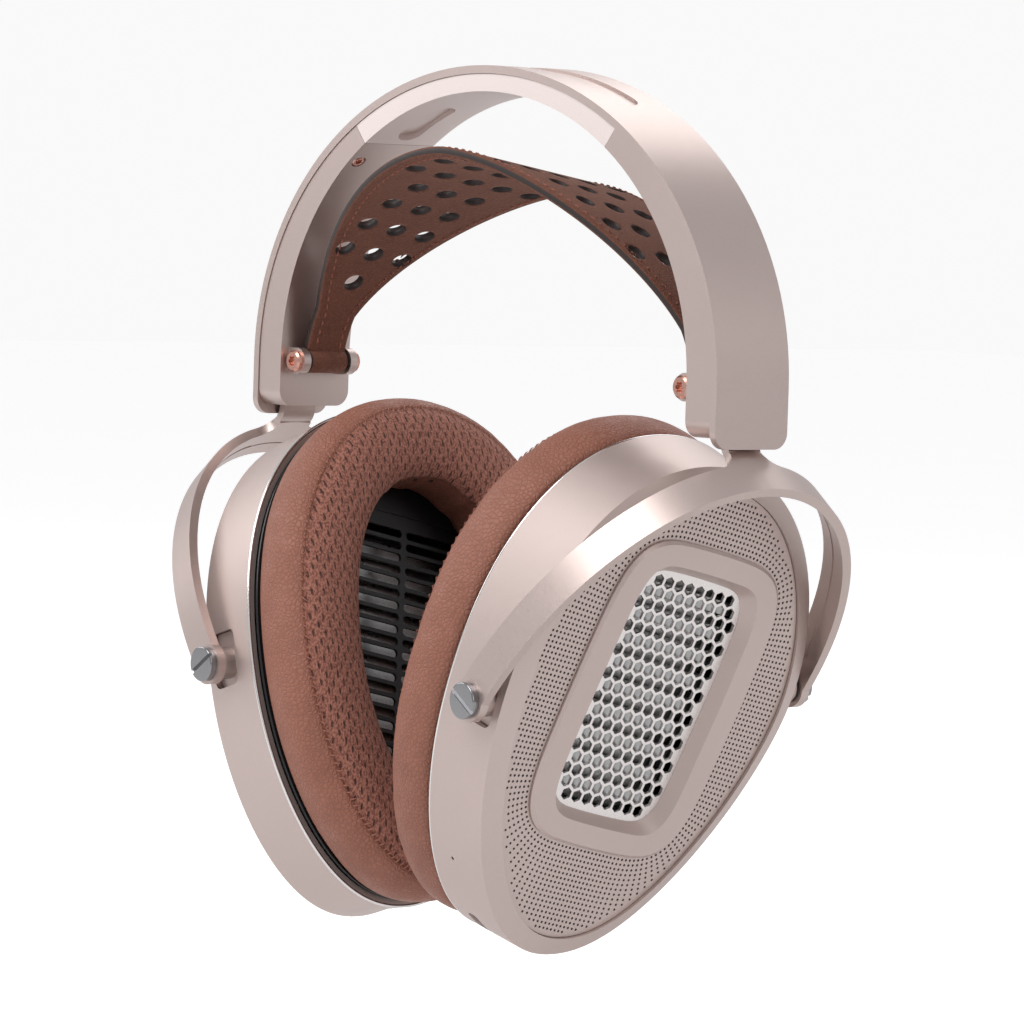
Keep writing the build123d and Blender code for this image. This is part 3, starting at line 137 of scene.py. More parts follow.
class Finish:
    """A principled material, with detail added node by node."""

    def __init__(self, name, colour, roughness, metallic=0.0, **sockets):
        self.material = bpy.data.materials.new(name)
        self.material.use_nodes = True
        self.nodes = self.material.node_tree.nodes
        self.links = self.material.node_tree.links
        self.shader = self.nodes["Principled BSDF"]
        self.colour = colour
        self.shader.inputs["Base Color"].default_value = (*colour, 1)
        self.shader.inputs["Roughness"].default_value = roughness
        self.shader.inputs["Metallic"].default_value = metallic
        for socket, value in sockets.items():
            self.shader.inputs[socket.replace("_", " ")].default_value = value
        self.place = self.nodes.new("ShaderNodeTexCoord").outputs["Object"]

    def node(self, kind, **settings):
        made = self.nodes.new(kind)
        for key, value in settings.items():
            setattr(made, key, value)
        return made

    def stretched(self, stretch, turn=(0, 0, 0)):
        mapping = self.node("ShaderNodeMapping")
        mapping.inputs["Scale"].default_value = stretch
        mapping.inputs["Rotation"].default_value = turn
        self.links.new(self.place, mapping.inputs["Vector"])
        return mapping.outputs["Vector"]

    def noise(self, size_mm, detail=2.0, stretch=(1, 1, 1)):
        made = self.node("ShaderNodeTexNoise")
        made.inputs["Scale"].default_value = 1000 / size_mm
        made.inputs["Detail"].default_value = detail
        self.links.new(self.stretched(stretch), made.inputs["Vector"])
        return made.outputs["Fac"]

    def cells(self, size_mm, feature="F1", stretch=(1, 1, 1), jitter=1.0, turn=(0, 0, 0)):
        made = self.node("ShaderNodeTexVoronoi", feature=feature)
        made.inputs["Scale"].default_value = 1000 / size_mm
        made.inputs["Randomness"].default_value = jitter
        self.links.new(self.stretched(stretch, turn), made.inputs["Vector"])
        return made.outputs["Distance"]

    def maths(self, operation, first, second=0.0):
        made = self.node("ShaderNodeMath", operation=operation)
        for socket, value in zip(made.inputs, (first, second)):
            if isinstance(value, (int, float)):
                socket.default_value = value
            else:
                self.links.new(value, socket)
        return made.outputs["Value"]

    def staggered_slits(self, column_mm, row_mm):
        """Upright slits across Y and Z: 1 in a slit's middle, and 0 away from it, in offset rows."""
        split = self.node("ShaderNodeSeparateXYZ")
        self.links.new(self.place, split.inputs["Vector"])
        masks = []
        for shift in (0.0, 0.5):
            distances = []
            for axis, size, narrow in (("Y", column_mm, 9.5), ("Z", row_mm, 3.7)):
                steps = self.maths("MULTIPLY_ADD", split.outputs[axis], 1000 / size)
                steps.node.inputs[2].default_value = shift
                centred = self.maths("SUBTRACT", self.maths("FRACT", steps), 0.5)
                distances.append(self.maths("POWER", self.maths("MULTIPLY", centred, narrow), 2))
            masks.append(self.maths("SUBTRACT", 1.0, self.maths("ADD", *distances)))
        return self.maths("MAXIMUM", self.maths("MAXIMUM", *masks), 0.0)

    def levels(self, source, low, high, low_value=0.0, high_value=1.0):
        made = self.node("ShaderNodeMapRange")
        made.inputs["From Min"].default_value = low
        made.inputs["From Max"].default_value = high
        made.inputs["To Min"].default_value = low_value
        made.inputs["To Max"].default_value = high_value
        self.links.new(source, made.inputs["Value"])
        return made.outputs["Result"]

    def tint(self, amount, other):
        """Mixes the base colour with another by amount."""
        made = self.node("ShaderNodeMix", data_type="RGBA")
        base = self.shader.inputs["Base Color"]
        if base.is_linked:
            self.links.new(base.links[0].from_socket, made.inputs["A"])
        else:
            made.inputs["A"].default_value = (*self.colour, 1)
        made.inputs["B"].default_value = (*other, 1)
        self.links.new(amount, made.inputs["Factor"])
        self.links.new(made.outputs["Result"], base)
        return self

    def dull(self, source, low_value, high_value, low=0.3, high=0.7):
        self.links.new(self.levels(source, low, high, low_value, high_value), self.shader.inputs["Roughness"])
        return self

    def bump(self, height, distance_mm, strength=1.0):
        made = self.node("ShaderNodeBump")
        made.inputs["Distance"].default_value = distance_mm * MM
        made.inputs["Strength"].default_value = strength
        self.links.new(height, made.inputs["Height"])
        normal = self.shader.inputs["Normal"]
        if normal.is_linked:
            self.links.new(normal.links[0].from_socket, made.inputs["Normal"])
        self.links.new(made.outputs["Normal"], normal)
        return self


def shade(colour, factor):
    return tuple(min(1.0, channel * factor) for channel in colour)


def blasted_metal(name, colour, roughness, metallic):
    """Bead-blasted and anodised, with a fine grain and faint cloudiness."""
    finish = Finish(name, colour, roughness, metallic)
    grain = finish.noise(0.35, 3)
    clouds = finish.noise(38, 2)
    finish.tint(finish.levels(clouds, 0.3, 0.7, 0, 0.25), shade(colour, 0.86))
    finish.tint(finish.levels(grain, 0.35, 0.65, 0, 0.28), shade(colour, 1.18))
    finish.dull(grain, roughness - 0.05, roughness + 0.09)
    finish.bump(grain, 0.012, 0.6)
    return finish.material


def moulded_plastic(name, colour, roughness, **sockets):
    finish = Finish(name, colour, roughness, **sockets)
    grain = finish.noise(0.6, 3)
    finish.tint(finish.levels(finish.noise(20, 2), 0.3, 0.7, 0, 0.3), shade(colour, 0.8))
    finish.dull(grain, roughness - 0.06, roughness + 0.08)
    finish.bump(grain, 0.01, 0.5)
    return finish.material


def turned_metal(name, colour, roughness):
    """Machined: fine streaks with a few scuffs."""
    finish = Finish(name, colour, roughness, 1.0)
    streaks = finish.noise(0.5, 2, (1, 1, 9))
    finish.tint(finish.levels(streaks, 0.3, 0.7, 0, 0.3), shade(colour, 0.75))
    finish.dull(streaks, roughness - 0.05, roughness + 0.1)
    finish.bump(finish.noise(2.5, 4), 0.008, 0.4)
    return finish.material


def suede():
    """Napped leather: soft mottling, short fibres and a velvety sheen."""
    colour = (0.135, 0.046, 0.027)
    finish = Finish("suede", colour, 0.92, 0.0, Sheen_Weight=0.18, Sheen_Roughness=0.45)
    finish.shader.inputs["Sheen Tint"].default_value = (0.75, 0.42, 0.3, 1)
    fibre = finish.noise(0.6, 6)
    mottle = finish.noise(7, 4)
    finish.tint(finish.levels(mottle, 0.3, 0.72, 0, 0.55), shade(colour, 0.62))
    finish.tint(finish.levels(fibre, 0.42, 0.75, 0, 0.55), (0.22, 0.082, 0.05))
    finish.bump(mottle, 0.25, 0.35)
    finish.bump(fibre, 0.3, 1.0)
    return finish.material


def grained_leather(name, colour, pores=False):
    """Small pebbled grain, with painted shade in the grooves between pebbles; the inner wall also has needle
    holes, filled with painted shade.
    """
    finish = Finish(name, colour, 0.5, 0.0, Specular_IOR_Level=0.42)
    pebbles = finish.cells(1.15, "DISTANCE_TO_EDGE")
    creases = finish.noise(6, 5)
    finish.tint(finish.levels(creases, 0.35, 0.7, 0, 0.4), shade(colour, 0.72))
    # Painted shade: the grooves between the pebbles are darkened.
    finish.tint(finish.levels(pebbles, 0.0, 0.12, 0.5, 0), shade(colour, 0.55))
    finish.dull(creases, 0.43, 0.6)
    finish.bump(creases, 0.2, 0.35)
    finish.bump(finish.levels(pebbles, 0.0, 0.25), 0.14, 0.9)
    if pores:
        # Painted shade: the needle holes are filled with near-black colour, and the bump below sinks them.
        holes = finish.levels(finish.cells(5.2, "F1", jitter=0.12), 0.1, 0.13, 1, 0)
        finish.tint(holes, (0.012, 0.006, 0.004))
        finish.bump(holes, -0.5, 0.9)
    return finish.material


def knit():
    """Spacer fabric: plump cells of fine yarn, in staggered rows, between short slits tinted near-black as
    painted shade.
    """
    colour = (0.255, 0.092, 0.062)
    finish = Finish("knit", colour, 0.85, 0.0, Sheen_Weight=0.2, Sheen_Roughness=0.5)
    finish.shader.inputs["Sheen Tint"].default_value = (0.85, 0.5, 0.4, 1)
    yarn = finish.noise(0.5, 5, (1, 1, 0.7))
    slits = finish.staggered_slits(KNIT_COLUMN_MM, KNIT_ROW_MM)
    finish.tint(finish.levels(yarn, 0.4, 0.62, 0, 0.8), (0.42, 0.18, 0.13))
    finish.tint(finish.levels(yarn, 0.36, 0.5, 0.6, 0), (0.11, 0.034, 0.024))
    # Painted shade: the slits are tinted near-black, and the bump below sinks them.
    finish.tint(finish.levels(slits, 0.25, 0.6, 0, 0.85), (0.05, 0.014, 0.010))
    finish.bump(slits, -0.5, 0.9)
    finish.bump(yarn, 0.35, 1.0)
    return finish.material


CHAMPAGNE = (0.55, 0.452, 0.422)
LEATHER = (0.31, 0.118, 0.076)


def make_materials():
    pale = (0.80, 0.70, 0.67)
    film = Finish("driver_film", (0.42, 0.41, 0.40), 0.3, 0.9)
    film.bump(film.noise(1.2, 2, (1, 1, 6)), 0.05, 0.6)
    film.dull(film.noise(4, 3), 0.22, 0.42)
    board = Finish("board_mask", (0.02, 0.09, 0.045), 0.4)
    board.tint(board.levels(board.cells(1.6), 0.1, 0.2, 0.7, 0), (0.35, 0.30, 0.12))
    lens = Finish("light_lens", (0.85, 0.85, 0.82), 0.15)
    lens.bump(lens.noise(0.8), 0.02, 0.5)
    lens.tint(lens.noise(2.0), (0.7, 0.72, 0.7))
    return {
        "satin_metal": blasted_metal("satin_metal", CHAMPAGNE, 0.36, 0.92),
        "shell_finish": blasted_metal("shell_lacquer", CHAMPAGNE, 0.42, 0.72),
        "crown_liner": blasted_metal("crown_liner", pale, 0.4, 0.35),
        "spring_steel": turned_metal("spring_steel", (0.55, 0.55, 0.56), 0.3),
        "copper_screw": turned_metal("copper_screw", (0.66, 0.36, 0.29), 0.24),
        "chrome_screw": turned_metal("chrome_screw", (0.30, 0.30, 0.31), 0.12),
        "strap_suede": suede(),
        "pad_leather": grained_leather("pad_leather", LEATHER),
        # The inner wall is the pad leather at 0.72 brightness: painted shade inside the pad.
        "pad_inner": grained_leather("pad_inner_shaded_leather", shade(LEATHER, 0.72), pores=True),
        "pad_knit": knit(),
        "thread": moulded_plastic("thread", (0.30, 0.10, 0.065), 0.75),
        "pale_thread": moulded_plastic("pale_thread", (0.36, 0.15, 0.105), 0.75),
        "dark_edge": moulded_plastic("strap_edge_paint", (0.022, 0.012, 0.010), 0.55),
        "mesh_metal": blasted_metal("mesh_metal", (0.80, 0.76, 0.74), 0.3, 0.85),
        "magnet_metal": turned_metal("magnet_metal", (0.50, 0.50, 0.50), 0.3),
        "black_plastic": moulded_plastic("black_plastic", (0.014, 0.014, 0.015), 0.42),
        # Near-black; it colours the sheet under the perforated plates, painted shade for their holes
        "felt": moulded_plastic("felt", (0.006, 0.006, 0.006), 0.95),
        "black_gloss": moulded_plastic("black_gloss", (0.008, 0.008, 0.009), 0.16),
        "polished_edge": turned_metal("polished_edge", (0.82, 0.80, 0.79), 0.12),
        "diaphragm_film": film.material,
        "board": board.material,
        "port_metal": turned_metal("port_metal", (0.50, 0.50, 0.52), 0.28),
        "light_lens": lens.material,
        "battery_wrap": moulded_plastic("battery_wrap", (0.05, 0.08, 0.22), 0.3),
    }


MATERIALS = make_materials()


SHOWN_FINISH = {"pad_ring": "black_gloss", "pivot_blocks": "shell_finish"}


def dress_frame():
    """Each CAD node takes the material of its slot in the record, or the one SHOWN_FINISH gives it."""
    slots = {part["node"]: part["material_slot"] for part in RECORD["subparts"]}
    for name, node in frame["nodes"].items():
        finish = SHOWN_FINISH.get(name.split("_", 1)[-1], slots[name])
        for index in range(len(node.material_slots)):
            node.material_slots[index].material = MATERIALS[finish]


# Meshes

def build(name, vertices, faces, finishes, face_finish=None, crease=35):
    mesh = bpy.data.meshes.new(name)
    mesh.from_pydata([tuple(v) for v in vertices], [], faces)
    if mesh.validate():
        raise ValueError(f"{name} has a faulty face")
    for finish in finishes:
        mesh.materials.append(MATERIALS[finish])
    if face_finish:
        mesh.polygons.foreach_set("material_index", face_finish)
    mesh.polygons.foreach_set("use_smooth", [True] * len(mesh.polygons))
    work = bmesh.new()
    work.from_mesh(mesh)
    bmesh.ops.recalc_face_normals(work, faces=work.faces)
    work.to_mesh(mesh)
    work.free()
    mesh.set_sharp_from_angle(angle=math.radians(crease))
    piece = bpy.data.objects.new(name, mesh)
    bpy.context.scene.collection.objects.link(piece)
    return piece


def swept(rings, name, finishes, band_finish=None, closed_along=True, crease=35):
    """Skins rings of equal length, each closed, into a tube; the tube closes on itself or is capped."""
    count, size = len(rings), len(rings[0])
    vertices = [point for ring in rings for point in ring]
    faces, marks = [], []
    for i in range(count if closed_along else count - 1):
        after = (i + 1) % count
        for j in range(size):
            k = (j + 1) % size
            faces.append((i * size + j, after * size + j, after * size + k, i * size + k))
            marks.append(band_finish[j] if band_finish else 0)
    if not closed_along:
        faces.append(tuple(range(size)))
        faces.append(tuple(range((count - 1) * size, count * size))[::-1])
        marks += [0, 0]
    return build(name, vertices, faces, finishes, marks, crease)


def tube_parts(paths, radius, sides=6):
    """Vertices and faces of short round threads, one along each path, with pointed ends."""
    vertices, faces = [], []
    for path in paths:
        base = len(vertices)
        last = len(path) - 1
        for i, point in enumerate(path):
            ahead = (path[min(i + 1, last)] - path[max(i - 1, 0)]).normalized()
            side = ahead.orthogonal().normalized()
            over = ahead.cross(side)
            size = radius * (0.35 if i in (0, last) else 1)
            for k in range(sides):
                turn = 2 * math.pi * k / sides
                vertices.append(point + (side * math.cos(turn) + over * math.sin(turn)) * size)
        for i in range(last):
            for k in range(sides):
                m = (k + 1) % sides
                low, high = base + i * sides, base + (i + 1) * sides
                faces.append((low + k, low + m, high + m, high + k))
        faces.append(tuple(range(base, base + sides)))
        faces.append(tuple(range(base + last * sides, base + (last + 1) * sides)))
    return vertices, faces


def threads(name, paths, radius_mm, finish):
    vertices, faces = tube_parts(paths, radius_mm * MM)
    return build(name, vertices, faces, [finish], crease=80)


# Cup frame

def ramp(value, softness):
    """Follows value below zero, levels out at zero above it, and turns softly between."""
    return (value - math.hypot(value, softness)) / 2


def signed_power(value, power):
    return math.copysign(abs(value) ** power, value)


def cup_taper(along):
    return 1 + CUP_TAPER * ramp(along, CUP_TAPER_SOFTNESS)


def cup_shift(v):
    return CUP_CENTRE_U + CUP_LEAN * ramp(v, CUP_LEAN_SOFTNESS)


def cup_point(angle, inset):
    """A point of the egg outline, at an angle in radians, moved in by inset."""
    across = signed_power(math.cos(angle), 2 / CUP_SQUARENESS)
    along = signed_power(math.sin(angle), 2 / CUP_SQUARENESS)
    v = CUP_CENTRE_V + (CUP_HALF_HEIGHT - inset) * along
    return (CUP_HALF_WIDTH - inset) * across * cup_taper(along) + cup_shift(v), v


def in_cup(u, v, inset):
    along = (v - CUP_CENTRE_V) / (CUP_HALF_HEIGHT - inset)
    if abs(along) >= 1:
        return False
    across = (1 - abs(along) ** CUP_SQUARENESS) ** (1 / CUP_SQUARENESS)
    return abs(u - cup_shift(v)) < (CUP_HALF_WIDTH - inset) * across * cup_taper(along)


def placed(u, v, w, side):
    """From the cup's frame in millimetres to the row frame in metres; the right cup is mirrored."""
    point = PIVOT + (UPWARD * v + OUTBOARD * w) * MM
    return Vector((side * point.x, u * MM, point.z))


def cup_ring(name, side, inset, w, radius, finish, segments=220, sides=12):
    """A thin round ring that follows the cup outline."""
    rings = []
    for i in range(segments):
        angle = 2 * math.pi * i / segments
        ring = []
        for k in range(sides):
            turn = 2 * math.pi * k / sides
            u, v = cup_point(angle, inset - radius * math.cos(turn))
            ring.append(placed(u, v, w + radius * math.sin(turn), side))
        rings.append(ring)
    return swept(rings, name, [finish], crease=80)


def bezel_point(angle):
    lean = math.radians(BEZEL_LEAN)
    across = BEZEL_HALF_WIDTH * signed_power(math.cos(angle), 2 / BEZEL_SQUARENESS)
    along = BEZEL_HALF_HEIGHT * signed_power(math.sin(angle), 2 / BEZEL_SQUARENESS)
    u = BEZEL_U + across * math.cos(lean) + along * math.sin(lean)
    v = BEZEL_V - across * math.sin(lean) + along * math.cos(lean)
    return Vector((u, v))


def bezel_stations():
    """Evenly spaced points round the bezel's outline, each with its outward direction."""
    outline = [bezel_point(2 * math.pi * (i + 0.5) / DENSE) for i in range(DENSE)]
    lengths = [0.0]
    for i in range(DENSE):
        lengths.append(lengths[-1] + (outline[(i + 1) % DENSE] - outline[i]).length)
    count = 2 * round(lengths[-1] / HOLE_PITCH)
    stations, i = [], 0
    for k in range(count):
        wanted = lengths[-1] * k / count
        while lengths[i + 1] < wanted:
            i += 1
        share = (wanted - lengths[i]) / max(lengths[i + 1] - lengths[i], 1e-9)
        point = outline[i].lerp(outline[(i + 1) % DENSE], share)
        ahead = outline[(i + 2) % DENSE] - outline[i - 1]
        stations.append((point, Vector((ahead.y, -ahead.x)).normalized()))
    return stations


def room_to_rim(point, outward):
    """How far a ray from the bezel runs before it meets the rim."""
    low, high = 0.0, 60.0
    for _ in range(24):
        middle = (low + high) / 2
        far = point + outward * middle
        if in_cup(far.x, far.y, RIM_WIDTH + PLATE_GAP):
            low = middle
        else:
            high = middle
    return low


def perforated_plate(side_name, side):
    """Rows of small holes run out from the bezel to the rim, in lines parallel to the bezel."""
    stations = bezel_stations()
    rooms = [room_to_rim(*station) for station in stations]
    count = len(stations)
    vertices, faces, index = [], [], {}
    top, bottom = PLATE_TOP_W, PLATE_TOP_W - PLATE_THICKNESS

    def vertex(key, u, v, w):
        if key not in index:
            index[key] = len(vertices)
            vertices.append(placed(u, v, w, side))
        return index[key]

    def grid_vertex(i, offset, w):
        point, outward = stations[i % count]
        reach = min(offset, rooms[i % count])
        place = point + outward * reach
        return vertex((i % count, round(reach, 4), w), place.x, place.y, w)

    def add(face):
        kept = [face[k] for k in range(len(face)) if face[k] != face[k - 1]]
        if len(kept) > 2:
            faces.append(tuple(kept))

    def cell(i, inner, outer, has_hole):
        middle = (inner + outer) / 2
        ring = [(i - 1, inner), (i, inner), (i + 1, inner), (i + 1, middle),
                (i + 1, outer), (i, outer), (i - 1, outer), (i - 1, middle)]
        point, outward = stations[i % count]
        centre = point + outward * middle
        tops = [grid_vertex(a, b, top) for a, b in ring]
        bottoms = [grid_vertex(a, b, bottom) for a, b in ring]
        if not has_hole:
            for half in ((0, 1, 5, 6, 7), (1, 2, 3, 4, 5)):
                add([tops[k] for k in half])
                add([bottoms[k] for k in half][::-1])
            return
        rims = {}
        for w in (top, bottom):
            rims[w] = []
            for k, (a, b) in enumerate(ring):
                spot, way = stations[a % count]
                toward = (spot + way * b - centre).normalized()
                place = centre + toward * HOLE_RADIUS
                rims[w].append(vertex((i, middle, k, w), place.x, place.y, w))
        for k in range(8):
            m = (k + 1) % 8
            add([tops[k], tops[m], rims[top][m], rims[top][k]])
            add([bottoms[m], bottoms[k], rims[bottom][k], rims[bottom][m]])
            add([rims[top][k], rims[top][m], rims[bottom][m], rims[bottom][k]])

    longest = max(rooms)
    for i in range(0, count, 2):
        near = [rooms[(i + step) % count] for step in (-1, 0, 1)]
        cell(i, -BEZEL_COVER, 0.3, False)
        offset = 0.3
        while offset < longest:
            outer = offset + HOLE_PITCH
            if offset < max(near):
                fits = min(near) > outer + HOLE_MARGIN
                cell(i, offset, outer, fits)
            offset = outer
    for i in range(count):
        add([grid_vertex(i, -BEZEL_COVER, top), grid_vertex(i + 1, -BEZEL_COVER, top),
             grid_vertex(i + 1, -BEZEL_COVER, bottom), grid_vertex(i, -BEZEL_COVER, bottom)])
        add([grid_vertex(i, 99, top), grid_vertex(i + 1, 99, top),
             grid_vertex(i + 1, 99, bottom), grid_vertex(i, 99, bottom)])
    plate = build(f"{side_name}_perforated_plate", vertices, faces, ["shell_finish"], crease=30)
    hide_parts(f"{side_name}_outer_grille")
    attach(plate, f"{side_name}_cup")


def shade_sheet_under_plate(side_name, side):
    """A near-black sheet just under the perforated plate: painted shade that darkens its holes."""
    rings = []
    for station in bezel_stations():
        point, outward = station
        inner = point - outward * BEZEL_COVER
        outer = point + outward * room_to_rim(*station)
        section = [(inner, SHADE_SHEET_TOP_W), (outer, SHADE_SHEET_TOP_W), (outer, SHADE_SHEET_W), (inner, SHADE_SHEET_W)]
        rings.append([placed(place.x, place.y, w, side) for place, w in section])
    felt = swept(rings, f"{side_name}_shade_sheet_under_plate", ["felt"])
    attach(felt, f"{side_name}_cup")


# Ear pad

def pad_profile():
    """The pad's section as inset, height and finish: 0 leather, 1 knit, 2 inner leather, darkened as painted
    shade.
    """
    back, face = PAD_BACK_W, PAD_FACE_W
    return [
        (3.5, back, 0), (1.2, back - 0.15, 0), (0.0, back - 1.3, 0), (-0.9, back - 3.6, 0),
        (-1.5, back - 6.6, 0), (-1.6, back - 9.6, 0), (-1.0, back - 12.4, 0), (0.3, back - 14.6, 0),
        (1.5, back - 15.8, 0), (2.3, back - 16.25, 0), (2.75, back - 16.1, 1), (3.0, back - 16.5, 1),
        (3.7, back - 17.3, 1), (5.2, back - 18.3, 1), (7.4, face - 0.1, 1), (10.2, face - 0.55, 1),
        (13.2, face - 0.6, 1), (16.0, face - 0.2, 1), (18.2, face + 0.8, 1), (19.5, face + 2.2, 1),
        (20.1, face + 3.6, 1), (20.2, face + 4.2, 2), (19.9, face + 4.7, 2), (20.5, face + 6.2, 2),
        (20.9, face + 9.0, 2), (20.7, face + 12.5, 2), (20.3, face + 16.0, 2), (19.6, back, 2),
    ]


def pad_offset(angle, index, finish):
    """Small unevenness: puckers at the seams and slack folds in the inner wall."""
    spot = Vector((math.cos(angle) * 3, math.sin(angle) * 3, index * 0.13))
    soft = noise.noise(spot) * 0.28
    if finish == 2:
        ripple = noise.noise(Vector((math.cos(angle) * 9, math.sin(angle) * 9, index * 0.2 + 7)))
        return soft + ripple * 0.9
    pucker = noise.noise(Vector((math.cos(angle) * 26, math.sin(angle) * 26, 3.0)))
    near_seam = math.exp(-((index - 9) / 2.2) ** 2)
    return soft + pucker * 0.34 * near_seam


def ear_pad(side_name, side):
    profile = pad_profile()
    rings = []
    for i in range(PAD_SEGMENTS):
        angle = 2 * math.pi * i / PAD_SEGMENTS
        ring = []
        for k, (inset, w, finish) in enumerate(profile):
            moved = 0 if k in (0, len(profile) - 1) else pad_offset(angle, k, finish)
            u, v = cup_point(angle, inset + moved)
            ring.append(placed(u, v, w + moved * 0.3, side))
        rings.append(ring)
    bands = [finish for _, _, finish in profile]
    pad = swept(rings, f"{side_name}_pad", ["pad_leather", "pad_knit", "pad_inner"], bands, crease=70)
    smooth = pad.modifiers.new("smooth", "SUBSURF")
    smooth.levels = 1
    smooth.render_levels = 1
    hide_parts(f"{side_name}_ear_pad")
    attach(pad, f"{side_name}_cup")
    stitches = pad_stitches(side_name, side)
    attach(stitches, f"{side_name}_cup")


def pad_stitches(side_name, side):
    """A zigzag of thread over the seam between leather and knit."""
    count = 170
    paths = []
    for i in range(count):
        start = 2 * math.pi * i / count
        end = start + 2 * math.pi * 0.62 / count
        low, high = (1.75, PAD_BACK_W - 16.2), (3.35, PAD_BACK_W - 17.15)
        path = []
        for share in (0.0, 0.33, 0.67, 1.0):
            angle = start + (end - start) * share
            lift = 0.22 * math.sin(math.pi * share)
            inset = low[0] + (high[0] - low[0]) * share - lift
            w = low[1] + (high[1] - low[1]) * share - lift
            u, v = cup_point(angle, inset)
            path.append(placed(u, v, w, side))
        paths.append(path)
    return threads(f"{side_name}_pad_stitches", paths, 0.17, "pale_thread")


def cup_trim(side_name, side):
    """A polished edge on the shell's back, and a glossy bead on the pad ring."""
    edge = cup_ring(f"{side_name}_polished_edge", side, -SHELL_FLARE + 0.35, SHELL_BACK_W + 0.1, 0.42,
                    "polished_edge")
    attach(edge, f"{side_name}_cup")
    bead = cup_ring(f"{side_name}_ring_bead", side, 0.95, SHELL_BACK_W - 1.35, 0.4, "black_gloss")
    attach(bead, f"{side_name}_cup")


# Head strap

def strap_point(turn, offset):
    """Along the strap's line from bar to bar, moved out by offset, in the row frame's x and z."""
    rise = STRAP_CROWN_Z - BAR_HEIGHT
    power = 2 / STRAP_SHARPNESS
    x = BAR_X * signed_power(math.sin(turn), power)
    z = rise * max(math.cos(turn), 0.0) ** power
    normal = Vector((
        signed_power(x / BAR_X, STRAP_SHARPNESS - 1) / BAR_X, (z / rise) ** (STRAP_SHARPNESS - 1) / rise
    )).normalized()
    return Vector((x, BAR_HEIGHT + z)) + normal * offset


def strap_turns(count):
    """Turns that are evenly spaced along the strap, from its middle, with their lengths."""
    fine = 3000
    turns = [math.pi / 2 * (2 * i / fine - 1) for i in range(fine + 1)]
    points = [strap_point(turn, 0) for turn in turns]
    lengths = [0.0]
    for before, after in zip(points, points[1:]):
        lengths.append(lengths[-1] + (after - before).length)
    half = lengths[-1] / 2
    reach = half - LOOP_INNER - 0.5
    wanted = [-reach + 2 * reach * i / (count - 1) for i in range(count)]
    return [turn_at(turns, lengths, half, length) for length in wanted], wanted


def turn_at(turns, lengths, half, length):
    low, high = 0, len(turns) - 1
    while high - low > 1:
        middle = (low + high) // 2
        if lengths[middle] - half < length:
            low = middle
        else:
            high = middle
    share = (length + half - lengths[low]) / (lengths[high] - lengths[low])
    return turns[low] + (turns[high] - turns[low]) * share


def strap_half_width(x):
    """A lens with round sides, no narrower than its loops."""
    if abs(x) >= STRAP_CLEAR:
        return STRAP_END_HALF
    rise = STRAP_CROWN_HALF - STRAP_END_HALF
    radius = (STRAP_CLEAR ** 2 + rise ** 2) / (2 * rise)
    return STRAP_CROWN_HALF - radius + math.sqrt(radius ** 2 - x ** 2)


def strap_placed(turn, offset, y):
    point = strap_point(turn, offset)
    fall = y * math.tan(math.radians(STRAP_LEAN))
    return Vector((point.x, y, point.y - SEAT_Z - fall)) * MM


def strap_body():
    turns, _ = strap_turns(150)
    thick = STRAP_THICKNESS / 2
    columns = 24
    rings = []
    for turn in turns:
        half = strap_half_width(strap_point(turn, 0).x)
        ring = []
        for k in range(columns + 1):
            y = (half - 0.5) * (2 * k / columns - 1)
            ring.append(strap_placed(turn, thick, y))
        ring.append(strap_placed(turn, thick * 0.55, half))
        ring.append(strap_placed(turn, -thick * 0.55, half))
        for k in range(columns, -1, -1):
            y = (half - 0.5) * (2 * k / columns - 1)
            ring.append(strap_placed(turn, -thick, y))
        ring.append(strap_placed(turn, -thick * 0.55, -half))
        ring.append(strap_placed(turn, thick * 0.55, -half))
        rings.append(ring)
    edge = [0, 1, 0]
    bands = [0] * columns + edge + [0] * columns + edge
    return swept(rings, "suede_strap", ["strap_suede", "dark_edge"], bands, closed_along=False, crease=60)


def strap_hole_places():
    """Arc length from the crown and y of each hole: rows shorten towards the ends."""
    places = []
    for row, holes in enumerate(STRAP_HOLE_ROWS):
        length = STRAP_ROW_START + STRAP_ROW_PITCH * row
        for side in (1, -1):
            for column in range(holes):
                places.append((side * length, (column - (holes - 1) / 2) * STRAP_COLUMN_PITCH))
    return places


def strap_cutters():
    turns, lengths = strap_turns(1200)
    sides = 28
    vertices, faces = [], []
    for length, y in strap_hole_places():
        nearest = min(range(len(lengths)), key=lambda i: abs(lengths[i] - length))
        turn = turns[nearest]
        low = strap_placed(turn, -STRAP_THICKNESS, y)
        high = strap_placed(turn, STRAP_THICKNESS, y)
        axis = (high - low).normalized()
        along = Vector((0, 1, 0)).cross(axis).normalized()
        over = axis.cross(along)
        base = len(vertices)
        for end in (low, high):
            for k in range(sides):
                a = 2 * math.pi * k / sides
                vertices.append(end + (along * math.cos(a) + over * math.sin(a)) * STRAP_HOLE_RADIUS * MM)
        for k in range(sides):
            m = (k + 1) % sides
            faces.append((base + k, base + m, base + sides + m, base + sides + k))
        faces.append(tuple(range(base, base + sides))[::-1])
        faces.append(tuple(range(base + sides, base + 2 * sides)))
    return build("strap_cutters", vertices, faces, ["dark_edge"])


def applied(piece):
    """Replaces a piece's mesh by what its modifiers make of it."""
    graph = bpy.context.evaluated_depsgraph_get()
    mesh = bpy.data.meshes.new_from_object(piece.evaluated_get(graph))
    piece.modifiers.clear()
    piece.data = mesh


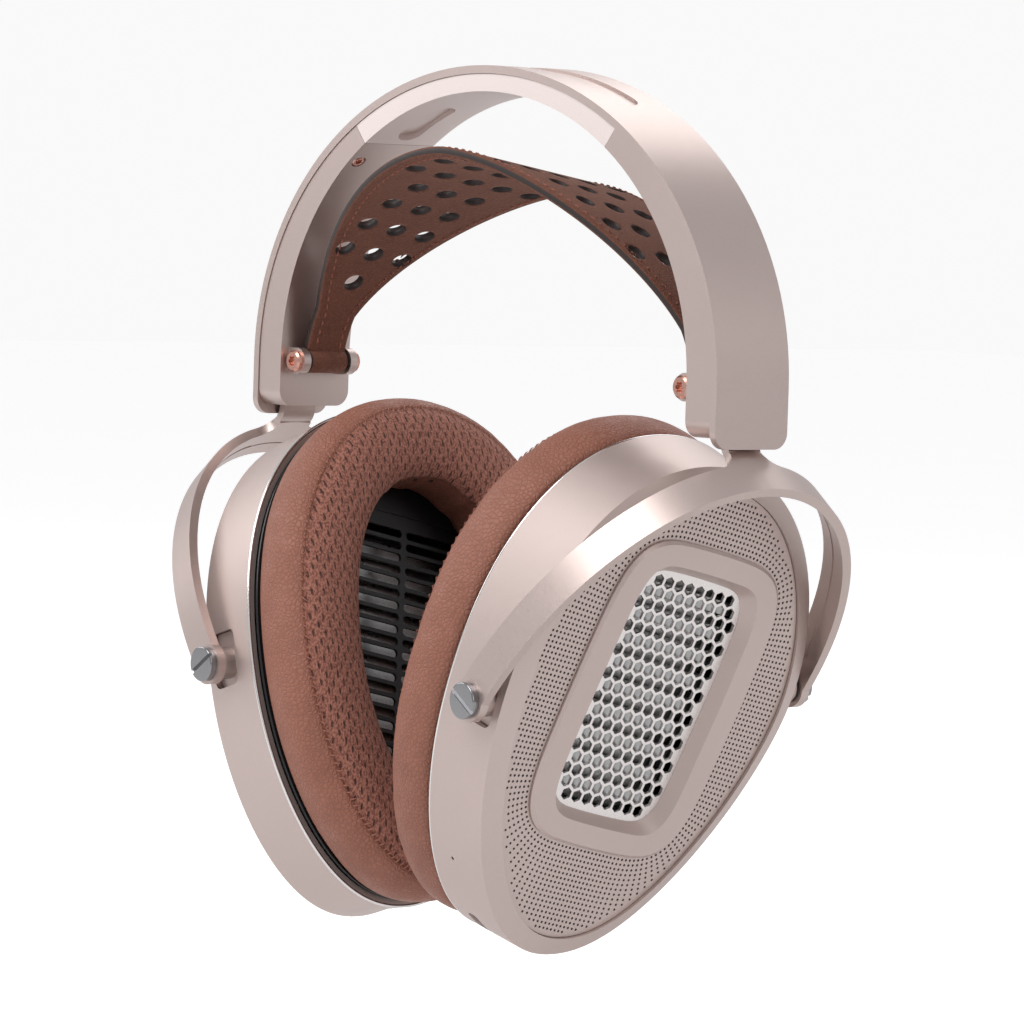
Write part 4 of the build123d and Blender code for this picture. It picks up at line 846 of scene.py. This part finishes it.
def strap_stitches():
    """Two rows of stitches inside each long edge, on both faces."""
    turns, lengths = strap_turns(1200)
    pitch = 12
    paths = []
    for surface in (1, -1):
        for edge in (1, -1):
            for start in range(pitch, len(turns) - 2 * pitch, pitch + 4):
                path = []
                for share in (0.0, 0.3, 0.7, 1.0):
                    turn = turns[start + round(share * pitch)]
                    half = strap_half_width(strap_point(turn, 0).x)
                    lift = STRAP_THICKNESS / 2 + (0.12 if 0 < share < 1 else -0.12)
                    path.append(strap_placed(turn, surface * lift, edge * (half - 2.3)))
                paths.append(path)
    return threads("strap_stitches", paths, 0.24, "thread")


def strap_loop(side_name, side):
    """The suede folded round its bar."""
    rings = []
    segments, inner, outer = 40, LOOP_INNER, LOOP_OUTER
    half = STRAP_END_HALF
    section = [(outer, -half + 0.4), (outer, half - 0.4), (outer - 0.4, half), (inner + 0.2, half),
               (inner, half - 0.3), (inner, -half + 0.3), (inner + 0.2, -half), (outer - 0.4, -half)]
    for i in range(segments):
        turn = 2 * math.pi * i / segments
        ring = []
        for radius, y in section:
            x = side * BAR_X + radius * math.cos(turn)
            z = BAR_HEIGHT - SEAT_Z + radius * math.sin(turn)
            ring.append(Vector((x, y, z)) * MM)
        rings.append(ring)
    loop = swept(rings, f"{side_name}_strap_loop", ["strap_suede", "dark_edge"],
                 [0, 1, 1, 1, 1, 1, 1, 1], crease=50)
    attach(loop, "headband")


def head_strap():
    strap = strap_body()
    cutters = strap_cutters()
    cut = strap.modifiers.new("holes", "BOOLEAN")
    cut.operation = "DIFFERENCE"
    cut.object = cutters
    cut.solver = "EXACT"
    applied(strap)
    bpy.data.objects.remove(cutters)
    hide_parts("head_strap")
    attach(strap, "headband")
    stitches = strap_stitches()
    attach(stitches, "headband")
    for side_name, side in SIDES.items():
        strap_loop(side_name, side)


# Studio

CAMERA_AZIMUTH = 49.977
CAMERA_ELEVATION = 3.175
CAMERA_ROLL = 1.818
CAMERA_DISTANCE = 1.33516
CAMERA_TARGET = Vector((0.0, 0.00236, -0.08342))
CAMERA_LENS = 188.7
FLOOR_DROP = 0.045
FLOOR_GLOW = 0.46


def toward(azimuth, elevation):
    a, e = math.radians(azimuth), math.radians(elevation)
    return Vector((math.sin(a) * math.cos(e), -math.cos(a) * math.cos(e), math.sin(e)))


def make_camera():
    camera = bpy.data.objects.new("camera", bpy.data.cameras.new("camera"))
    camera.data.lens = CAMERA_LENS
    camera.data.clip_start = 0.05
    back = toward(CAMERA_AZIMUTH, CAMERA_ELEVATION)
    a = math.radians(CAMERA_AZIMUTH)
    right = Vector((math.cos(a), math.sin(a), 0))
    turn = Matrix((right, back.cross(right), back)).transposed().to_4x4()
    roll = Matrix.Rotation(math.radians(CAMERA_ROLL), 4, "Z")
    camera.matrix_world = Matrix.Translation(CAMERA_TARGET + back * CAMERA_DISTANCE) @ turn @ roll
    bpy.context.scene.collection.objects.link(camera)
    bpy.context.scene.camera = camera


def soft_light(name, azimuth, elevation, distance, size, power):
    lamp = bpy.data.lights.new(name, "AREA")
    lamp.shape = "DISK"
    lamp.size = size
    lamp.energy = power
    light = bpy.data.objects.new(name, lamp)
    direction = toward(azimuth, elevation)
    light.location = CAMERA_TARGET + direction * distance
    light.rotation_euler = direction.to_track_quat("Z", "Y").to_euler()
    bpy.context.scene.collection.objects.link(light)


def make_world():
    world = bpy.data.worlds.new("studio")
    world.use_nodes = True
    nodes, links = world.node_tree.nodes, world.node_tree.links
    background = nodes["Background"]
    rays = nodes.new("ShaderNodeLightPath")
    mix = nodes.new("ShaderNodeMix")
    mix.data_type = "RGBA"
    mix.inputs["A"].default_value = (0.60, 0.60, 0.61, 1)
    mix.inputs["B"].default_value = (0.95, 0.95, 0.95, 1)
    links.new(rays.outputs["Is Camera Ray"], mix.inputs["Factor"])
    links.new(mix.outputs["Result"], background.inputs["Color"])
    bpy.context.scene.world = world


def make_floor():
    lowest = CAD_BOX[0][2] - FLOOR_DROP
    size = 6.0
    corners = [(-size, -size), (size, -size), (size, size), (-size, size)]
    mesh = bpy.data.meshes.new("floor")
    mesh.from_pydata([(x, y, lowest) for x, y in corners], [], [(0, 1, 2, 3)])
    finish = Finish("floor_paint", (0.82, 0.82, 0.82), 0.9)
    finish.tint(finish.levels(finish.noise(400), 0.3, 0.7, 0, 0.2), (0.8, 0.8, 0.8))
    rays = finish.node("ShaderNodeLightPath")
    finish.shader.inputs["Emission Color"].default_value = (1, 1, 1, 1)
    glow = finish.maths("MULTIPLY", rays.outputs["Is Camera Ray"], FLOOR_GLOW)
    finish.links.new(glow, finish.shader.inputs["Emission Strength"])
    mesh.materials.append(finish.material)
    floor = bpy.data.objects.new("floor", mesh)
    bpy.context.scene.collection.objects.link(floor)


def make_studio():
    make_camera()
    make_world()
    make_floor()
    soft_light("key", 5, 48, 1.5, 1.0, 11)
    soft_light("fill", 100, 20, 1.6, 1.1, 4)
    soft_light("back", 215, 45, 1.6, 1.0, 4.5)
    soft_light("side", -60, 25, 1.5, 0.9, 5)
    bpy.context.scene.view_settings.view_transform = "Standard"


make_studio()
dress_frame()
for side_name, side in SIDES.items():
    perforated_plate(side_name, side)
    shade_sheet_under_plate(side_name, side)
    cup_trim(side_name, side)
    ear_pad(side_name, side)
head_strap()
